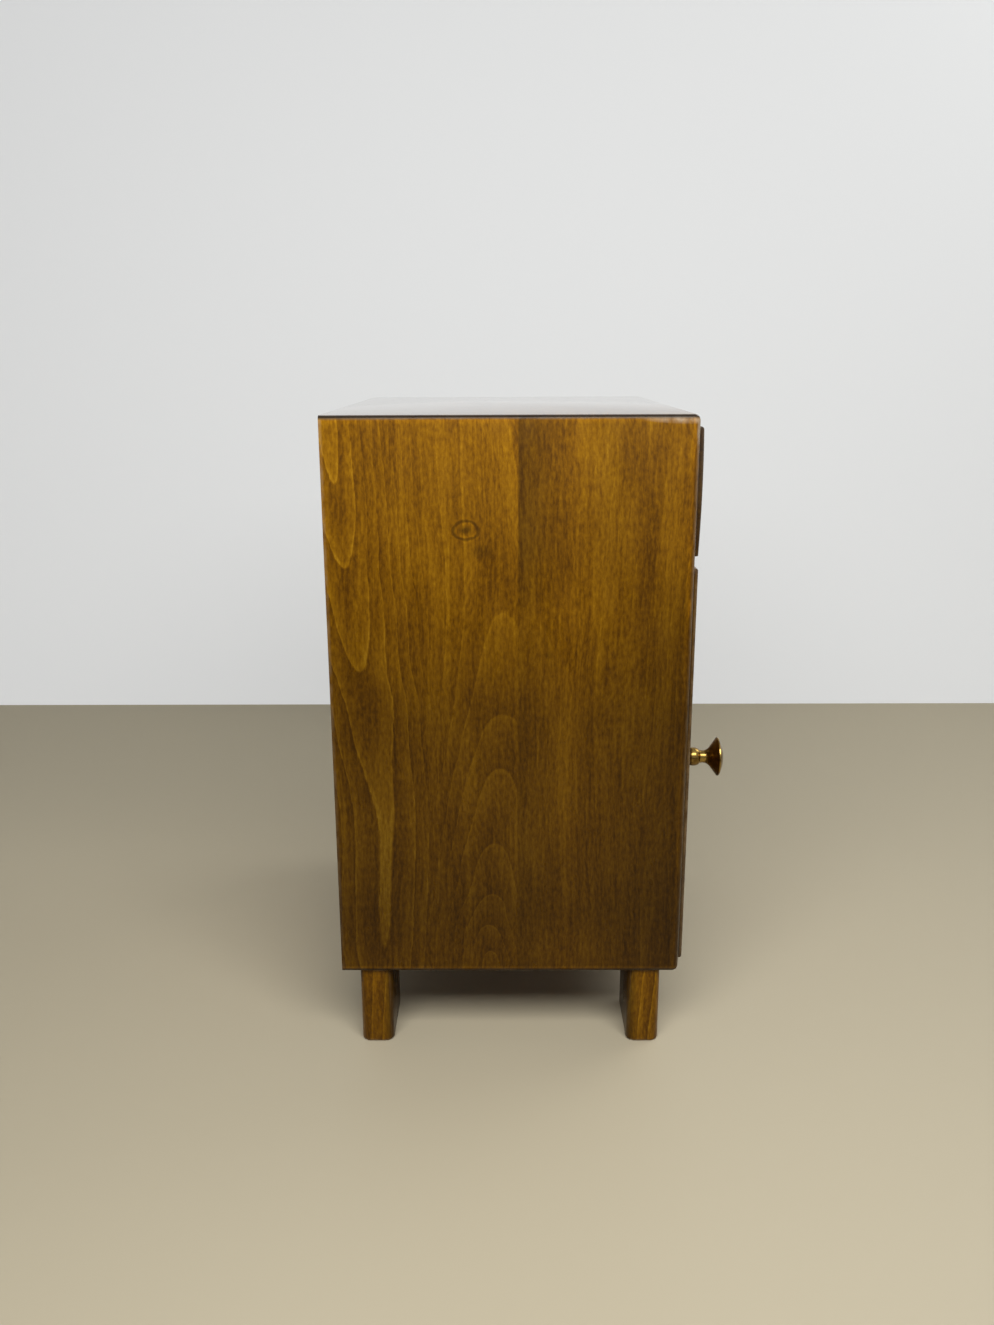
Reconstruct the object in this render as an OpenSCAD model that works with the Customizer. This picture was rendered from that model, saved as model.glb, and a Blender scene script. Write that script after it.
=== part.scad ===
// Bedside cabinet in stained beech: one drawer over a cupboard, on four block feet.
// X runs across the front, the front looks along -Y, and the floor is at z = 0.
// The origin is on the floor under the middle of the whole cabinet, its knob included.
// Depths are measured back from the front edge of the carcass, with the function back().

/* [Carcass] */
// Width over the side panels
carcass_w = 400; // [340:5:520]
// Depth from the front edges to the rear
carcass_d = 300; // [270:5:400]
// Height of the box without its feet
carcass_h = 486; // [430:2:620]
// Thickness of the carcass boards
board_t = 18; // [16:1:22]
// Radius on the outer front edges
front_r = 5; // [2:0.5:7]
// Radius on the long top edges
top_r = 3.5; // [1:0.5:6]
// Radius on the long bottom edges
bottom_r = 2.5; // [1:0.5:6]
// Thickness of the plywood back
back_t = 5; // [3:0.5:8]
// Width of the rebate that holds the back
rebate_w = 9; // [7:0.5:11]
// Distance of the back's upper and lower side screws from the back's corners
back_screw_in = 45; // [20:5:90]

/* [Corner joints] */
// Thickness of a corner's loose tongue
tongue_t = 4; // [3:0.5:5]
// Width of a loose tongue, half in each board
tongue_w = 14; // [10:1:14]
// Shift of the tongue towards the inside of the corner
tongue_shift = 1.5; // [0:0.25:1.5]
// Depth that the divider is housed in the side panels
housing = 6; // [3:0.5:8]
// Distance that a joint stops short of the front edge
joint_stop = 20; // [12:1:40]

/* [Fronts] */
// Bare carcass edge above the drawer front
margin_top = 10; // [6:0.5:13]
// Bare carcass edge beside the fronts
margin_side = 10; // [9:0.5:12]
// Bare carcass edge under the door
margin_bottom = 8; // [6:0.5:13]
// Height of the drawer front
drawer_front_h = 104; // [90:1:150]
// Open gap between the drawer front and the door
finger_gap = 10; // [8:0.5:12]
// Gap between a closed front and the carcass edge
front_gap = 0.5; // [0.3:0.1:1]
// Gap around the part of a front that enters the carcass
entry_gap = 1.5; // [1:0.1:2.5]
// Depth of the part of a front that enters the carcass
entry_d = 12; // [10:0.5:14]
// Thickness of the door's lip
door_lip_t = 4; // [3.5:0.1:9]
// Radius around the door's face
door_r = 2.5; // [1:0.5:3]
// Thickness of the drawer front's lip at its fullest
bulge_lip_t = 4.9; // [4:0.1:12]
// Thickness of the drawer front's lip at its lower edge
foot_lip_t = 3.6; // [3:0.1:4]
// Height of the fullest line above the lower edge
bulge_h = 60; // [50:1:86]
// Radius on the drawer front's top and ends
bulge_r = 3.5; // [2:0.5:4]

/* [Drawer] */
// Thickness of the drawer's sides and back
drawer_side_t = 12; // [10:0.5:14]
// Gap above and below the drawer's sides
drawer_box_gap = 6; // [3:0.5:9]
// Gap between the drawer's end and the back of the carcass
drawer_end_gap = 10; // [5:1:40]
// Thickness of the drawer's plywood bottom
drawer_bottom_t = 4; // [3:0.5:6]
// Height of the bottom's groove above the sides' lower edge
groove_up = 8; // [5:0.5:10]
// Depth of the bottom's groove
groove_d = 5; // [3:0.5:6]
// Number of dovetails at each corner
tail_count = 3; // [2:1:3]
// Width of a dovetail at its root
tail_root = 14; // [13:0.5:16]
// Slope of a dovetail's cheeks, as a share of its length
tail_slope = 0.16; // [0.1:0.01:0.2]
// Length of the hidden dovetails behind the drawer front
front_tail = 9; // [6:0.5:10]
// Distance of the outer bottom screws from the drawer's side walls
bottom_screw_in = 42; // [15:1:100]
// Height of the runners
runner_h = 11.4; // [9:0.1:12]
// Depth of the runners' groove in the drawer's sides
runner_groove_d = 6; // [4:0.5:7]
// Distance of the runners' front end behind the front edge
runner_start = 30; // [24:1:60]
// Length that the runners' groove is cut further forward than the runners reach
groove_lead = 2; // [1:0.5:6]
// Distance of the outer runner screws from the runners' ends
runner_screw_in = 25; // [12:1:60]

/* [Cupboard] */
// Thickness of the shelf
shelf_t = 15; // [12:1:20]
// Height of the shelf's top above the cupboard floor
shelf_up = 175; // [80:5:280]
// Distance of the shelf's front edge behind the front edge
shelf_back = 40; // [24:1:120]
// Radius on the shelf's front edge
shelf_r = 2; // [1:0.5:5]
// Gap between the shelf and the back
shelf_gap = 1; // [0.5:0.5:5]
// Radius of a peg's shank
peg_r = 2.5; // [2:0.25:4]
// Radius of a peg's head
peg_head_r = 3.5; // [3:0.25:6]
// Depth of a peg's bore in the side panel
peg_bore_d = 9; // [6:1:12]
// Length of a peg's head
peg_head_l = 9; // [6:1:14]
// Distance of the pegs from the shelf's front and rear edge
peg_in = 35; // [20:1:70]

/* [Knob] */
// Distance of the knob's axis from the door's side edge
knob_in = 40; // [30:1:90]
// Length of the knob from the door's face
knob_l = 35.4; // [30:0.1:50]
// Radius of the knob's rim
knob_rim_r = 17.3; // [14:0.1:24]
// Radius of the bead near the door
knob_bead_r = 8.4; // [7:0.1:10]
// Radius of the neck
knob_neck_r = 5.6; // [5:0.1:7]
// Height of the dome on the knob's end
knob_dome = 4.5; // [3:0.1:7]
// Thickness of the rim between the flare and the dome
knob_rim_h = 1; // [0.5:0.1:2]
// Chamfer under the rim
knob_rim_chamfer = 0.1; // [0.1:0.1:0.5]
// Length of the knob's foot on the door
knob_foot_l = 3.5; // [1:0.5:4]
// Length of the bead
knob_bead_l = 11; // [8:0.5:12]
// Distance from the door's face to the start of the flare
knob_flare_z = 17; // [14:0.5:18]
// Radius of the flare's curve
knob_flare_r = 8.5; // [5:0.5:9]
// Angle that the flare ends at
knob_flare_angle = 58; // [40:1:60]
// Radius of the knob's machine screw
knob_screw_r = 2; // [1.5:0.25:2.5]
// Depth that the screw enters the knob
knob_screw_in = 11; // [8:0.5:14]
// Height of the machine screw's head
knob_screw_head = 2.4; // [1.5:0.1:3]

/* [Hinges] */
// Height of a hinge
hinge_h = 50; // [40:1:70]
// Distance of a hinge's middle from the door's end
hinge_in = 62; // [45:1:90]
// Radius of a hinge's knuckle
knuckle_r = 2.8; // [2.4:0.1:3]
// Radius of a hinge's pin
hinge_pin_r = 1.25; // [1:0.05:1.5]
// Thickness of the hinge leaves
leaf_t = 1.2; // [1:0.1:1.6]
// Distance of the frame leaf's edge from the opening
leaf_edge = 1; // [0.5:0.1:2]
// Width of the door leaf on the back of the door
door_leaf_w = 25; // [18:1:35]
// Gap between a hinge's knuckles along the pin
knuckle_gap = 0.3; // [0.2:0.05:0.6]
// Height of the heads on a hinge's pin
pin_head = 1; // [0.5:0.1:2]
// Distance of a leaf's outer screws from the hinge's ends
leaf_screw_in = 8; // [6:0.5:12]
// Distance of the door leaf's outer screws from its free edge
door_screw_in = 7; // [5:0.5:12]
// Stagger of the door leaf's middle screw
door_screw_step = 4; // [0:0.5:8]

/* [Catch] */
// Distance of the catch's middle from the side panel
catch_in = 42; // [35:1:120]
// Length of the catch's case
catch_l = 30; // [24:1:44]
// Height of the catch's case
catch_h = 13; // [12:0.5:16]
// Depth of the catch's case
catch_d = 16; // [13:0.5:24]
// Thickness of the strike plate
strike_t = 1.5; // [1:0.1:2]
// Thickness of the case's walls
case_wall = 1.5; // [1:0.1:2]
// Length of the lugs beside the case
lug_l = 9; // [7:0.5:12]
// Thickness of the lugs
lug_t = 2.5; // [2:0.1:4]
// Distance of the lugs from the case's front and rear
lug_in = 3; // [1:0.5:4]
// Thickness of the pole plates
pole_t = 1; // [0.6:0.1:1.5]

/* [Feet] */
// Height of a foot
leg_h = 74; // [50:1:120]
// Length of a foot across the cabinet
leg_l = 72; // [50:1:90]
// Width of a foot from front to rear
leg_w = 29; // [24:1:45]
// Radius of a foot's upright edges
leg_r = 8; // [3:0.5:11]
// Chamfer around a foot's sole
leg_chamfer = 1.5; // [0.5:0.5:3]
// Distance of the feet from the carcass's side
leg_side = 4; // [2:1:30]
// Distance of the feet from the carcass's front and rear
leg_end = 15; // [6:1:60]
// Radius of the dowels
dowel_r = 4; // [3:0.5:5]
// Length of a dowel in the foot
dowel_leg = 24; // [16:1:34]
// Length of a dowel in the bottom panel
dowel_board = 11; // [8:1:12]
// Distance between the two dowels of a foot
dowel_pitch = 40; // [26:1:44]

/* [Screws] */
// Radius of the wood screws
screw_r = 1.5; // [1.25:0.05:1.75]
// Radius of the wood screws' heads
screw_head_r = 2.9; // [2.5:0.1:3.2]
// Length of the wood screws
screw_l = 14; // [12:0.5:15]
// Radius of the hinge screws
small_screw_r = 1.1; // [1:0.05:1.3]
// Radius of the hinge screws' heads
small_head_r = 2.1; // [1.9:0.05:2.3]
// Length of the hinge screws
small_screw_l = 10; // [8:0.5:11]

/* [Fits] */
// Clearance of a piece in its groove, socket or bore
ease = 0.1; // [0.05:0.01:0.15]
// Sliding clearance around the runners
slide_gap = 0.3; // [0.2:0.05:0.5]
// Radial clearance of the hinge pins
pin_ease = 0.05; // [0.03:0.01:0.08]
// Free depth beyond the end of a dowel or of the knob's screw
bore_spare = 1; // [0.5:0.25:2]
// Gap between the strike plate and the magnet's pole plates
catch_gap = 0.3; // [0.2:0.1:0.6]

/* [Hidden] */
$fn = 48;

stain = "#7a4a14";
pale_beech = "#c9a878";
ply = "#b99a6b";
brass = "#b08a3c";
steel = "#a8a8a8";

// Extra length of a cut that runs right through, and the overlap of shapes that are one piece
over = 1;

// The whole cabinet's depth runs from the rear to the tip of the knob
door_face = front_gap + door_lip_t;
depth_all = carcass_d + door_face + knob_l;
front_y = depth_all / 2 - carcass_d;

// Inside of the carcass
half_w = carcass_w / 2;
in_x = half_w - board_t;
floor_z = leg_h + board_t;
top_z = leg_h + carcass_h;
ceiling_z = top_z - board_t;
in_d = carcass_d - back_t;

// Fronts, from the top down
drawer_top = top_z - margin_top;
drawer_low = drawer_top - drawer_front_h;
door_top = drawer_low - finger_gap;
door_low = leg_h + margin_bottom;
door_h = door_top - door_low;
lip_x = half_w - margin_side;
entry_x = in_x - entry_gap;
entry_back = entry_d - front_gap;
divider_low = (drawer_low + door_top - board_t) / 2;
divider_top = divider_low + board_t;

// Drawer box
box_low = divider_top + drawer_box_gap;
box_top = ceiling_z - drawer_box_gap;
drawer_box_h = box_top - box_low;
box_end = in_d - drawer_end_gap;
side_in_x = entry_x - drawer_side_t;
bottom_z = box_low + groove_up;
bottom_x = side_in_x + groove_d - ease;
tail_pitch = drawer_box_h / tail_count;
runner_z = (box_low + box_top) / 2;
runner_w = entry_gap + runner_groove_d - slide_gap;
runner_end = box_end;

// Shelf
shelf_z = floor_z + shelf_up - shelf_t;
shelf_end = in_d - shelf_gap;
peg_z = shelf_z - peg_head_r;

// Hinge axis, beside the lip and sunk so that the frame leaf lies flush
axis_x = lip_x + knuckle_r + front_gap;
axis_out = knuckle_r - leaf_t;
hinge_zs = [door_low + hinge_in, door_top - hinge_in];
knuckle_l = hinge_h / 3;
leaf_in_x = in_x + leaf_edge;
leaf_screws = [leaf_screw_in - hinge_h / 2, 0, hinge_h / 2 - leaf_screw_in];

// Knob and catch
knob_x = -(lip_x - knob_in);
knob_z = (door_low + door_top) / 2;
catch_x = -(in_x - catch_in);
catch_front = entry_back + strike_t + catch_gap;
strike_top = divider_low - entry_gap - front_gap;
strike_low = divider_low - catch_h + case_wall;

// Feet, as centres
leg_x = half_w - leg_side - leg_l / 2;
leg_ys = [back(leg_end + leg_w / 2), back(carcass_d - leg_end - leg_w / 2)];

// Y of a depth measured back from the front edge, and of one measured out from it
function back(depth) = front_y + depth;
function out(depth) = front_y - depth;

// A box from its low and high corners
module block(low, high) {
  translate(low) cube(high - low);
}

// Outline [w, h] with a radius on each corner, counted round from the low left one
module rounded(w, h, radii) {
  difference() {
    square([w, h]);
    for (i = [0:3]) {
      right = i == 1 || i == 2;
      upper = i > 1;
      if (radii[i] > 0) translate([right ? w : 0, upper ? h : 0])
        mirror([right ? 1 : 0, 0, 0]) mirror([0, upper ? 1 : 0, 0]) corner_waste(radii[i]);
    }
  }
}

// What a radius takes off a square corner at the origin
module corner_waste(r) {
  difference() {
    translate([-over, -over]) square(r + over);
    translate([r, r]) circle(r);
  }
}

// Extrusions of an outline along X (outline in y, z) and along Y (outline in x, z)
module along_x(x0, x1) {
  translate([x0, 0, 0]) rotate([90, 0, 90]) linear_extrude(x1 - x0) children();
}
module along_y(y0, y1) {
  translate([0, y1, 0]) rotate([90, 0, 0]) linear_extrude(y1 - y0) children();
}

// Countersunk wood screw along +Z, its head's face at z = 0 and its point at z = length
module wood_screw(r, head_r, length) {
  head_l = head_r - r;
  tip_l = 2 * r;
  difference() {
    rotate_extrude() polygon([
      [0, 0], [head_r, 0], [r, head_l], [r, length - tip_l], [r / 5, length], [0, length]
    ]);
    translate([-head_r - over, -r / 4, -over]) cube([2 * (head_r + over), r / 2, over + head_l / 2]);
  }
}

// The hole that a wood screw fills. Its countersink opens on outwards past z = 0.
module screw_hole(r, head_r, length) {
  narrow = r + ease;
  end = length + ease;
  rotate_extrude() polygon([
    [0, -over], [head_r + ease + over, -over], [narrow, head_r - r], [narrow, end], [0, end]
  ]);
}

// The boxed outside of the carcass, with every outer edge eased
module carcass_block() {
  intersection() {
    along_x(-half_w, half_w) translate([front_y, leg_h])
      rounded(carcass_d, carcass_h, [front_r, 0, 0, front_r]);
    translate([-half_w, front_y, leg_h]) linear_extrude(carcass_h)
      rounded(carcass_w, carcass_d, [front_r, front_r, 0, 0]);
    along_y(back(0), back(carcass_d)) translate([-half_w, leg_h])
      rounded(carcass_w, carcass_h, [bottom_r, bottom_r, top_r, top_r]);
  }
}

// Slots for the loose tongues across the four mitres, and the tongues themselves
module tongues(clear) {
  mid = board_t / 2 + tongue_shift;
  for (sx = [-1, 1], sz = [0, 1]) {
    z = sz == 0 ? leg_h + mid : top_z - mid;
    turn = sx * (sz == 0 ? 45 : -45);
    translate([sx * (half_w - mid), back(carcass_d / 2), z]) rotate([0, turn, 0])
      cube([tongue_w + 2 * clear, carcass_d - 2 * joint_stop + 2 * clear, tongue_t + 2 * clear], true);
  }
}

// The space of the back panel in its rebate
module back_space(clear) {
  x = in_x + rebate_w - clear;
  block([-x, back(in_d), floor_z - rebate_w + clear],
        [x, back(carcass_d), ceiling_z + rebate_w - clear]);
}

// Places the ten screws of the back, pointing forward
module at_back_screws() {
  x = in_x + rebate_w / 2;
  z0 = floor_z - rebate_w / 2;
  z1 = ceiling_z + rebate_w / 2;
  side_zs = [z0 + back_screw_in, (z0 + z1) / 2, z1 - back_screw_in];
  for (sx = [-1, 1], z = side_zs) translate([sx * x, back(carcass_d), z]) rotate([90, 0, 0]) children();
  for (sx = [-1, 1], z = [z0, z1])
    translate([sx * in_x / 3, back(carcass_d), z]) rotate([90, 0, 0]) children();
}

// Places the six runner screws, pointing into the side panels
module at_runner_screws(sides) {
  depths = [runner_start + runner_screw_in, (runner_start + runner_end) / 2, runner_end - runner_screw_in];
  for (sx = sides, depth = depths)
    translate([sx * (in_x - runner_w), back(depth), runner_z]) rotate([0, sx * 90, 0]) children();
}

// Places the screws of both frame leaves, pointing into the side panel's front edge
module at_frame_screws(zs) {
  x = (leaf_in_x + lip_x) / 2;
  for (z = zs, up = leaf_screws) translate([x, back(0), z + up]) rotate([-90, 0, 0]) children();
}

// Places the screws of both door leaves, pointing forward into the back of the door
module at_door_screws(zs) {
  x = entry_x - door_leaf_w + door_screw_in;
  for (z = zs, up = leaf_screws)
    translate([x + (up == 0 ? door_screw_step : 0), back(entry_back), z + up]) rotate([90, 0, 0]) children();
}

// Places the dowels' centres at the joint between foot and bottom panel
module at_dowels(sxs, ys) {
  for (sx = sxs, y = ys, along = [-0.5, 0.5])
    translate([sx * leg_x + along * dowel_pitch, y, leg_h]) children();
}

// Places the shelf pegs, pointing outwards along their shanks
module at_pegs(sxs) {
  for (sx = sxs, depth = [shelf_back + peg_in, shelf_end - peg_in])
    translate([sx * in_x, back(depth), peg_z]) rotate([0, sx * 90, 0]) children();
}

// Side panel on the side sx, mitred at both ends
module side_panel(sx) {
  difference() {
    intersection() {
      carcass_block();
      along_y(back(-over), back(carcass_d + over)) polygon([
        [sx * half_w, leg_h], [sx * in_x, floor_z], [sx * in_x, ceiling_z], [sx * half_w, top_z]
      ]);
    }
    tongues(ease);
    back_space(0);
    housing_space(ease);
    at_back_screws() screw_hole(screw_r, screw_head_r, screw_l);
    at_runner_screws([sx]) screw_hole(screw_r, screw_head_r, screw_l);
    at_pegs([sx]) cylinder(h = peg_bore_d, r = peg_r + ease / 2);
  }
}

// The space of the divider's ends in their grooves in the side panels
module housing_space(clear) {
  x = in_x + housing;
  block([-x, back(joint_stop - clear), divider_low], [x, back(in_d + over), divider_top]);
}

module side_left() {
  color(stain) side_panel(-1);
}

module side_right() {
  color(stain) difference() {
    side_panel(1);
    frame_leaf_mortises();
    at_frame_screws(hinge_zs) screw_hole(small_screw_r, small_head_r, small_screw_l);
  }
}

// Recess for each frame leaf, with a round channel beside the lip for the knuckles
module frame_leaf_mortises() {
  for (z = hinge_zs) {
    block([leaf_in_x, out(over), z - hinge_h / 2 - ease], [axis_x, back(leaf_t), z + hinge_h / 2 + ease]);
    translate([axis_x, out(axis_out), z])
      cylinder(h = hinge_h + 2 * (pin_head + knuckle_gap), r = knuckle_r + slide_gap, center = true);
  }
}

// Top or bottom panel, mitred at both ends
module flat_panel(outer_z, inner_z) {
  difference() {
    intersection() {
      carcass_block();
      along_y(back(-over), back(carcass_d + over)) polygon([
        [-half_w, outer_z], [half_w, outer_z], [in_x, inner_z], [-in_x, inner_z]
      ]);
    }
    tongues(ease);
    back_space(0);
    at_back_screws() screw_hole(screw_r, screw_head_r, screw_l);
  }
}

module top_panel() {
  color(stain) flat_panel(top_z, ceiling_z);
}

module bottom_panel() {
  color(stain) difference() {
    flat_panel(leg_h, floor_z);
    at_dowels([-1, 1], leg_ys) cylinder(h = dowel_board + bore_spare, r = dowel_r + ease / 2);
  }
}

module corner_tongues() {
  color(ply) tongues(0);
}

// Divider, its ends housed in the side panels behind the front edge
module divider() {
  color(stain) difference() {
    union() {
      block([-in_x, back(0), divider_low], [in_x, back(in_d), divider_top]);
      block([-(in_x + housing - ease), back(joint_stop), divider_low],
            [in_x + housing - ease, back(in_d), divider_top]);
    }
    at_catch_screws() screw_hole(small_screw_r, small_head_r, small_screw_l);
  }
}

module back_panel() {
  color(ply) difference() {
    back_space(ease);
    at_back_screws() screw_hole(screw_r, screw_head_r, screw_l);
  }
}

module back_screws() {
  color(steel) at_back_screws() wood_screw(screw_r, screw_head_r, screw_l);
}

// Loose shelf that lies on the four pegs
module shelf() {
  x = in_x - entry_gap / 2;
  color(stain) along_x(-x, x) translate([back(shelf_back), shelf_z])
    rounded(shelf_end - shelf_back, shelf_t, [shelf_r, 0, 0, shelf_r]);
}

module shelf_pegs() {
  color(brass) at_pegs([-1, 1]) {
    cylinder(h = peg_bore_d - ease, r = peg_r);
    translate([0, 0, -peg_head_l]) cylinder(h = peg_head_l, r = peg_head_r);
  }
}

// Runner strip screwed to the side panel on the side sx
module runner(sx) {
  x0 = sx < 0 ? -in_x : in_x - runner_w;
  color(pale_beech) difference() {
    translate([x0, back(runner_start), runner_z - runner_h / 2])
      cube([runner_w, runner_end - runner_start, runner_h]);
    at_runner_screws([sx]) screw_hole(screw_r, screw_head_r, screw_l);
  }
}

module runner_left() {
  runner(-1);
}

module runner_right() {
  runner(1);
}

module runner_screws() {
  color(steel) at_runner_screws([-1, 1]) wood_screw(screw_r, screw_head_r, screw_l);
}

// Block foot on the side sx at the depth number row, front or rear
module leg(sx, row) {
  c = leg_chamfer;
  color(stain) difference() {
    translate([sx * leg_x, leg_ys[row], 0]) intersection() {
      translate([-leg_l / 2, -leg_w / 2, 0]) linear_extrude(leg_h)
        rounded(leg_l, leg_w, [leg_r, leg_r, leg_r, leg_r]);
      along_y(-leg_w / 2, leg_w / 2) polygon([
        [c - leg_l / 2, 0], [leg_l / 2 - c, 0], [leg_l / 2, c], [leg_l / 2, leg_h],
        [-leg_l / 2, leg_h], [-leg_l / 2, c]
      ]);
      along_x(-leg_l / 2, leg_l / 2) polygon([
        [c - leg_w / 2, 0], [leg_w / 2 - c, 0], [leg_w / 2, c], [leg_w / 2, leg_h],
        [-leg_w / 2, leg_h], [-leg_w / 2, c]
      ]);
    }
    at_dowels([sx], [leg_ys[row]]) translate([0, 0, -dowel_leg - bore_spare])
      cylinder(h = dowel_leg + bore_spare + over, r = dowel_r + ease / 2);
  }
}

module leg_front_left() {
  leg(-1, 0);
}

module leg_front_right() {
  leg(1, 0);
}

module leg_rear_left() {
  leg(-1, 1);
}

module leg_rear_right() {
  leg(1, 1);
}

module leg_dowels() {
  color(pale_beech) at_dowels([-1, 1], leg_ys) translate([0, 0, -dowel_leg])
    cylinder(h = dowel_leg + dowel_board, r = dowel_r);
}

// What the radius on the upright edges takes off both ends of a front's lip
module lip_end_waste(lip_t, r) {
  for (sx = [-1, 1])
    translate([sx * lip_x, out(front_gap + lip_t), 0]) mirror([sx > 0 ? 1 : 0, 0, 0])
      linear_extrude(top_z) corner_waste(r);
}

// Side view of the drawer front's lip, [distance out, height], with its shallow bulge.
// The large circle is turned so that one of its facets, and not a corner, lies at the fullest line.
module bulge_outline() {
  facets = 720;
  rise = bulge_lip_t - foot_lip_t;
  face_r = (bulge_h ^ 2 + rise ^ 2) / (2 * rise);
  corner_z = drawer_front_h - bulge_r;
  corner_out = bulge_lip_t - face_r + sqrt(face_r ^ 2 - (corner_z - bulge_h) ^ 2);
  intersection() {
    difference() {
      square([bulge_lip_t, drawer_front_h]);
      translate([corner_out, drawer_front_h]) rotate(180) corner_waste(bulge_r);
    }
    translate([bulge_lip_t - face_r, bulge_h]) rotate(180 / facets) circle(face_r, $fn = facets);
  }
}

// Drawer front: a lip that covers the opening's edges, on a thicker part that enters it
module drawer_front() {
  color(stain) difference() {
    union() {
      difference() {
        along_x(-lip_x, lip_x) translate([out(front_gap), drawer_low]) mirror([1, 0]) bulge_outline();
        lip_end_waste(bulge_lip_t, bulge_r);
      }
      block([-entry_x, out(front_gap + foot_lip_t / 2), divider_top + entry_gap],
            [entry_x, back(entry_back), ceiling_z - entry_gap]);
    }
    tail_slots() tail_row(entry_back, entry_back - front_tail, ease);
    block([-bottom_x - ease, back(entry_back - groove_d), bottom_z],
          [bottom_x + ease, back(entry_back + over), bottom_z + drawer_bottom_t + ease]);
  }
}

// Slots for the tails at both ends of a drawer front or back, open to the outside
module tail_slots() {
  along_x(-entry_x - over, -side_in_x + ease) children();
  along_x(side_in_x - ease, entry_x + over) children();
}

// Outline of one row of tails in y and z, from the depth root to the depth tip.
// Each starts a little before its root, inside the drawer side or in front of the face that it is cut in.
module tail_row(root, tip, clear) {
  end = abs(tip - root) + clear;
  r = tail_root / 2 + clear;
  start_r = r - over * tail_slope;
  end_r = r + end * tail_slope;
  for (i = [0:tail_count - 1])
    translate([back(root), box_low + (i + 0.5) * tail_pitch]) rotate(tip > root ? 0 : 180)
      polygon([[-over, -start_r], [end, -end_r], [end, end_r], [-over, start_r]]);
}

// Drawer side on the side sx, with dovetails at both ends and grooves for bottom and runner
module drawer_side(sx) {
  x0 = sx < 0 ? -entry_x : side_in_x;
  groove_x = sx < 0 ? -bottom_x - ease : side_in_x - over;
  outer_x = sx < 0 ? -entry_x - over : entry_x - runner_groove_d;
  groove_h = runner_h + 2 * slide_gap;
  color(pale_beech) difference() {
    along_x(x0, x0 + drawer_side_t) {
      translate([back(entry_back), box_low])
        square([box_end - drawer_side_t - entry_back, drawer_box_h]);
      tail_row(entry_back, entry_back - front_tail, 0);
      tail_row(box_end - drawer_side_t, box_end, 0);
    }
    translate([groove_x, back(0), bottom_z])
      cube([groove_d + over, carcass_d, drawer_bottom_t + ease]);
    translate([outer_x, back(runner_start - groove_lead), runner_z - groove_h / 2])
      cube([runner_groove_d + over, carcass_d, groove_h]);
  }
}

module drawer_side_left() {
  drawer_side(-1);
}

module drawer_side_right() {
  drawer_side(1);
}

// Drawer back: stands on the bottom, its pins fill the spaces between the sides' tails
module drawer_back() {
  color(pale_beech) difference() {
    block([-entry_x, back(box_end - drawer_side_t), bottom_z + drawer_bottom_t],
          [entry_x, back(box_end), box_top]);
    tail_slots() tail_row(box_end - drawer_side_t, box_end, ease);
    at_bottom_screws() screw_hole(small_screw_r, small_head_r, small_screw_l);
  }
}

// Places the screws that hold the drawer's bottom up against its back
module at_bottom_screws() {
  x = side_in_x - bottom_screw_in;
  for (sx = [-1, 0, 1]) translate([sx * x, back(box_end - drawer_side_t / 2), bottom_z]) children();
}

module drawer_bottom() {
  color(ply) difference() {
    block([-bottom_x, back(entry_back - groove_d + ease), bottom_z],
          [bottom_x, back(box_end), bottom_z + drawer_bottom_t]);
    at_bottom_screws() screw_hole(small_screw_r, small_head_r, small_screw_l);
  }
}

module drawer_bottom_screws() {
  color(steel) at_bottom_screws() wood_screw(small_screw_r, small_head_r, small_screw_l);
}

// Door: a lip that covers the opening's edges, on a thicker part that enters it
module door_panel() {
  color(stain) difference() {
    union() {
      difference() {
        along_x(-lip_x, lip_x) translate([out(door_face), door_low])
          rounded(door_lip_t, door_h, [door_r, 0, 0, door_r]);
        lip_end_waste(door_lip_t, door_r);
      }
      block([-entry_x, out(front_gap + door_lip_t / 2), floor_z + entry_gap],
            [entry_x, back(entry_back), divider_low - entry_gap]);
    }
    for (z = hinge_zs) translate([0, 0, z - hinge_h / 2 - ease])
      linear_extrude(hinge_h + 2 * ease) door_leaf_outline(over);
    at_door_screws(hinge_zs) screw_hole(small_screw_r, small_head_r, small_screw_l);
    translate([knob_x, 0, knob_z]) rotate([90, 0, 0])
      cylinder(h = carcass_d, r = knob_screw_r + slide_gap, center = true);
    at_strike_screw() screw_hole(small_screw_r, small_head_r, small_screw_l);
  }
}

// Plan of the cranked door leaf: behind the lip, along the step and over the door's back.
// The outer faces move out by spare where the outline cuts the door.
module door_leaf_outline(spare) {
  y0 = out(front_gap) + spare;
  y1 = out(front_gap + leaf_t);
  y2 = back(entry_back) + spare;
  y3 = back(entry_back - leaf_t);
  x_step = entry_x + spare;
  x_end = entry_x - door_leaf_w;
  polygon([
    [lip_x + spare, y0], [lip_x + spare, y1], [entry_x - leaf_t, y1], [entry_x - leaf_t, y3],
    [x_end, y3], [x_end, y2], [x_step, y2], [x_step, y0]
  ]);
}

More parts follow.
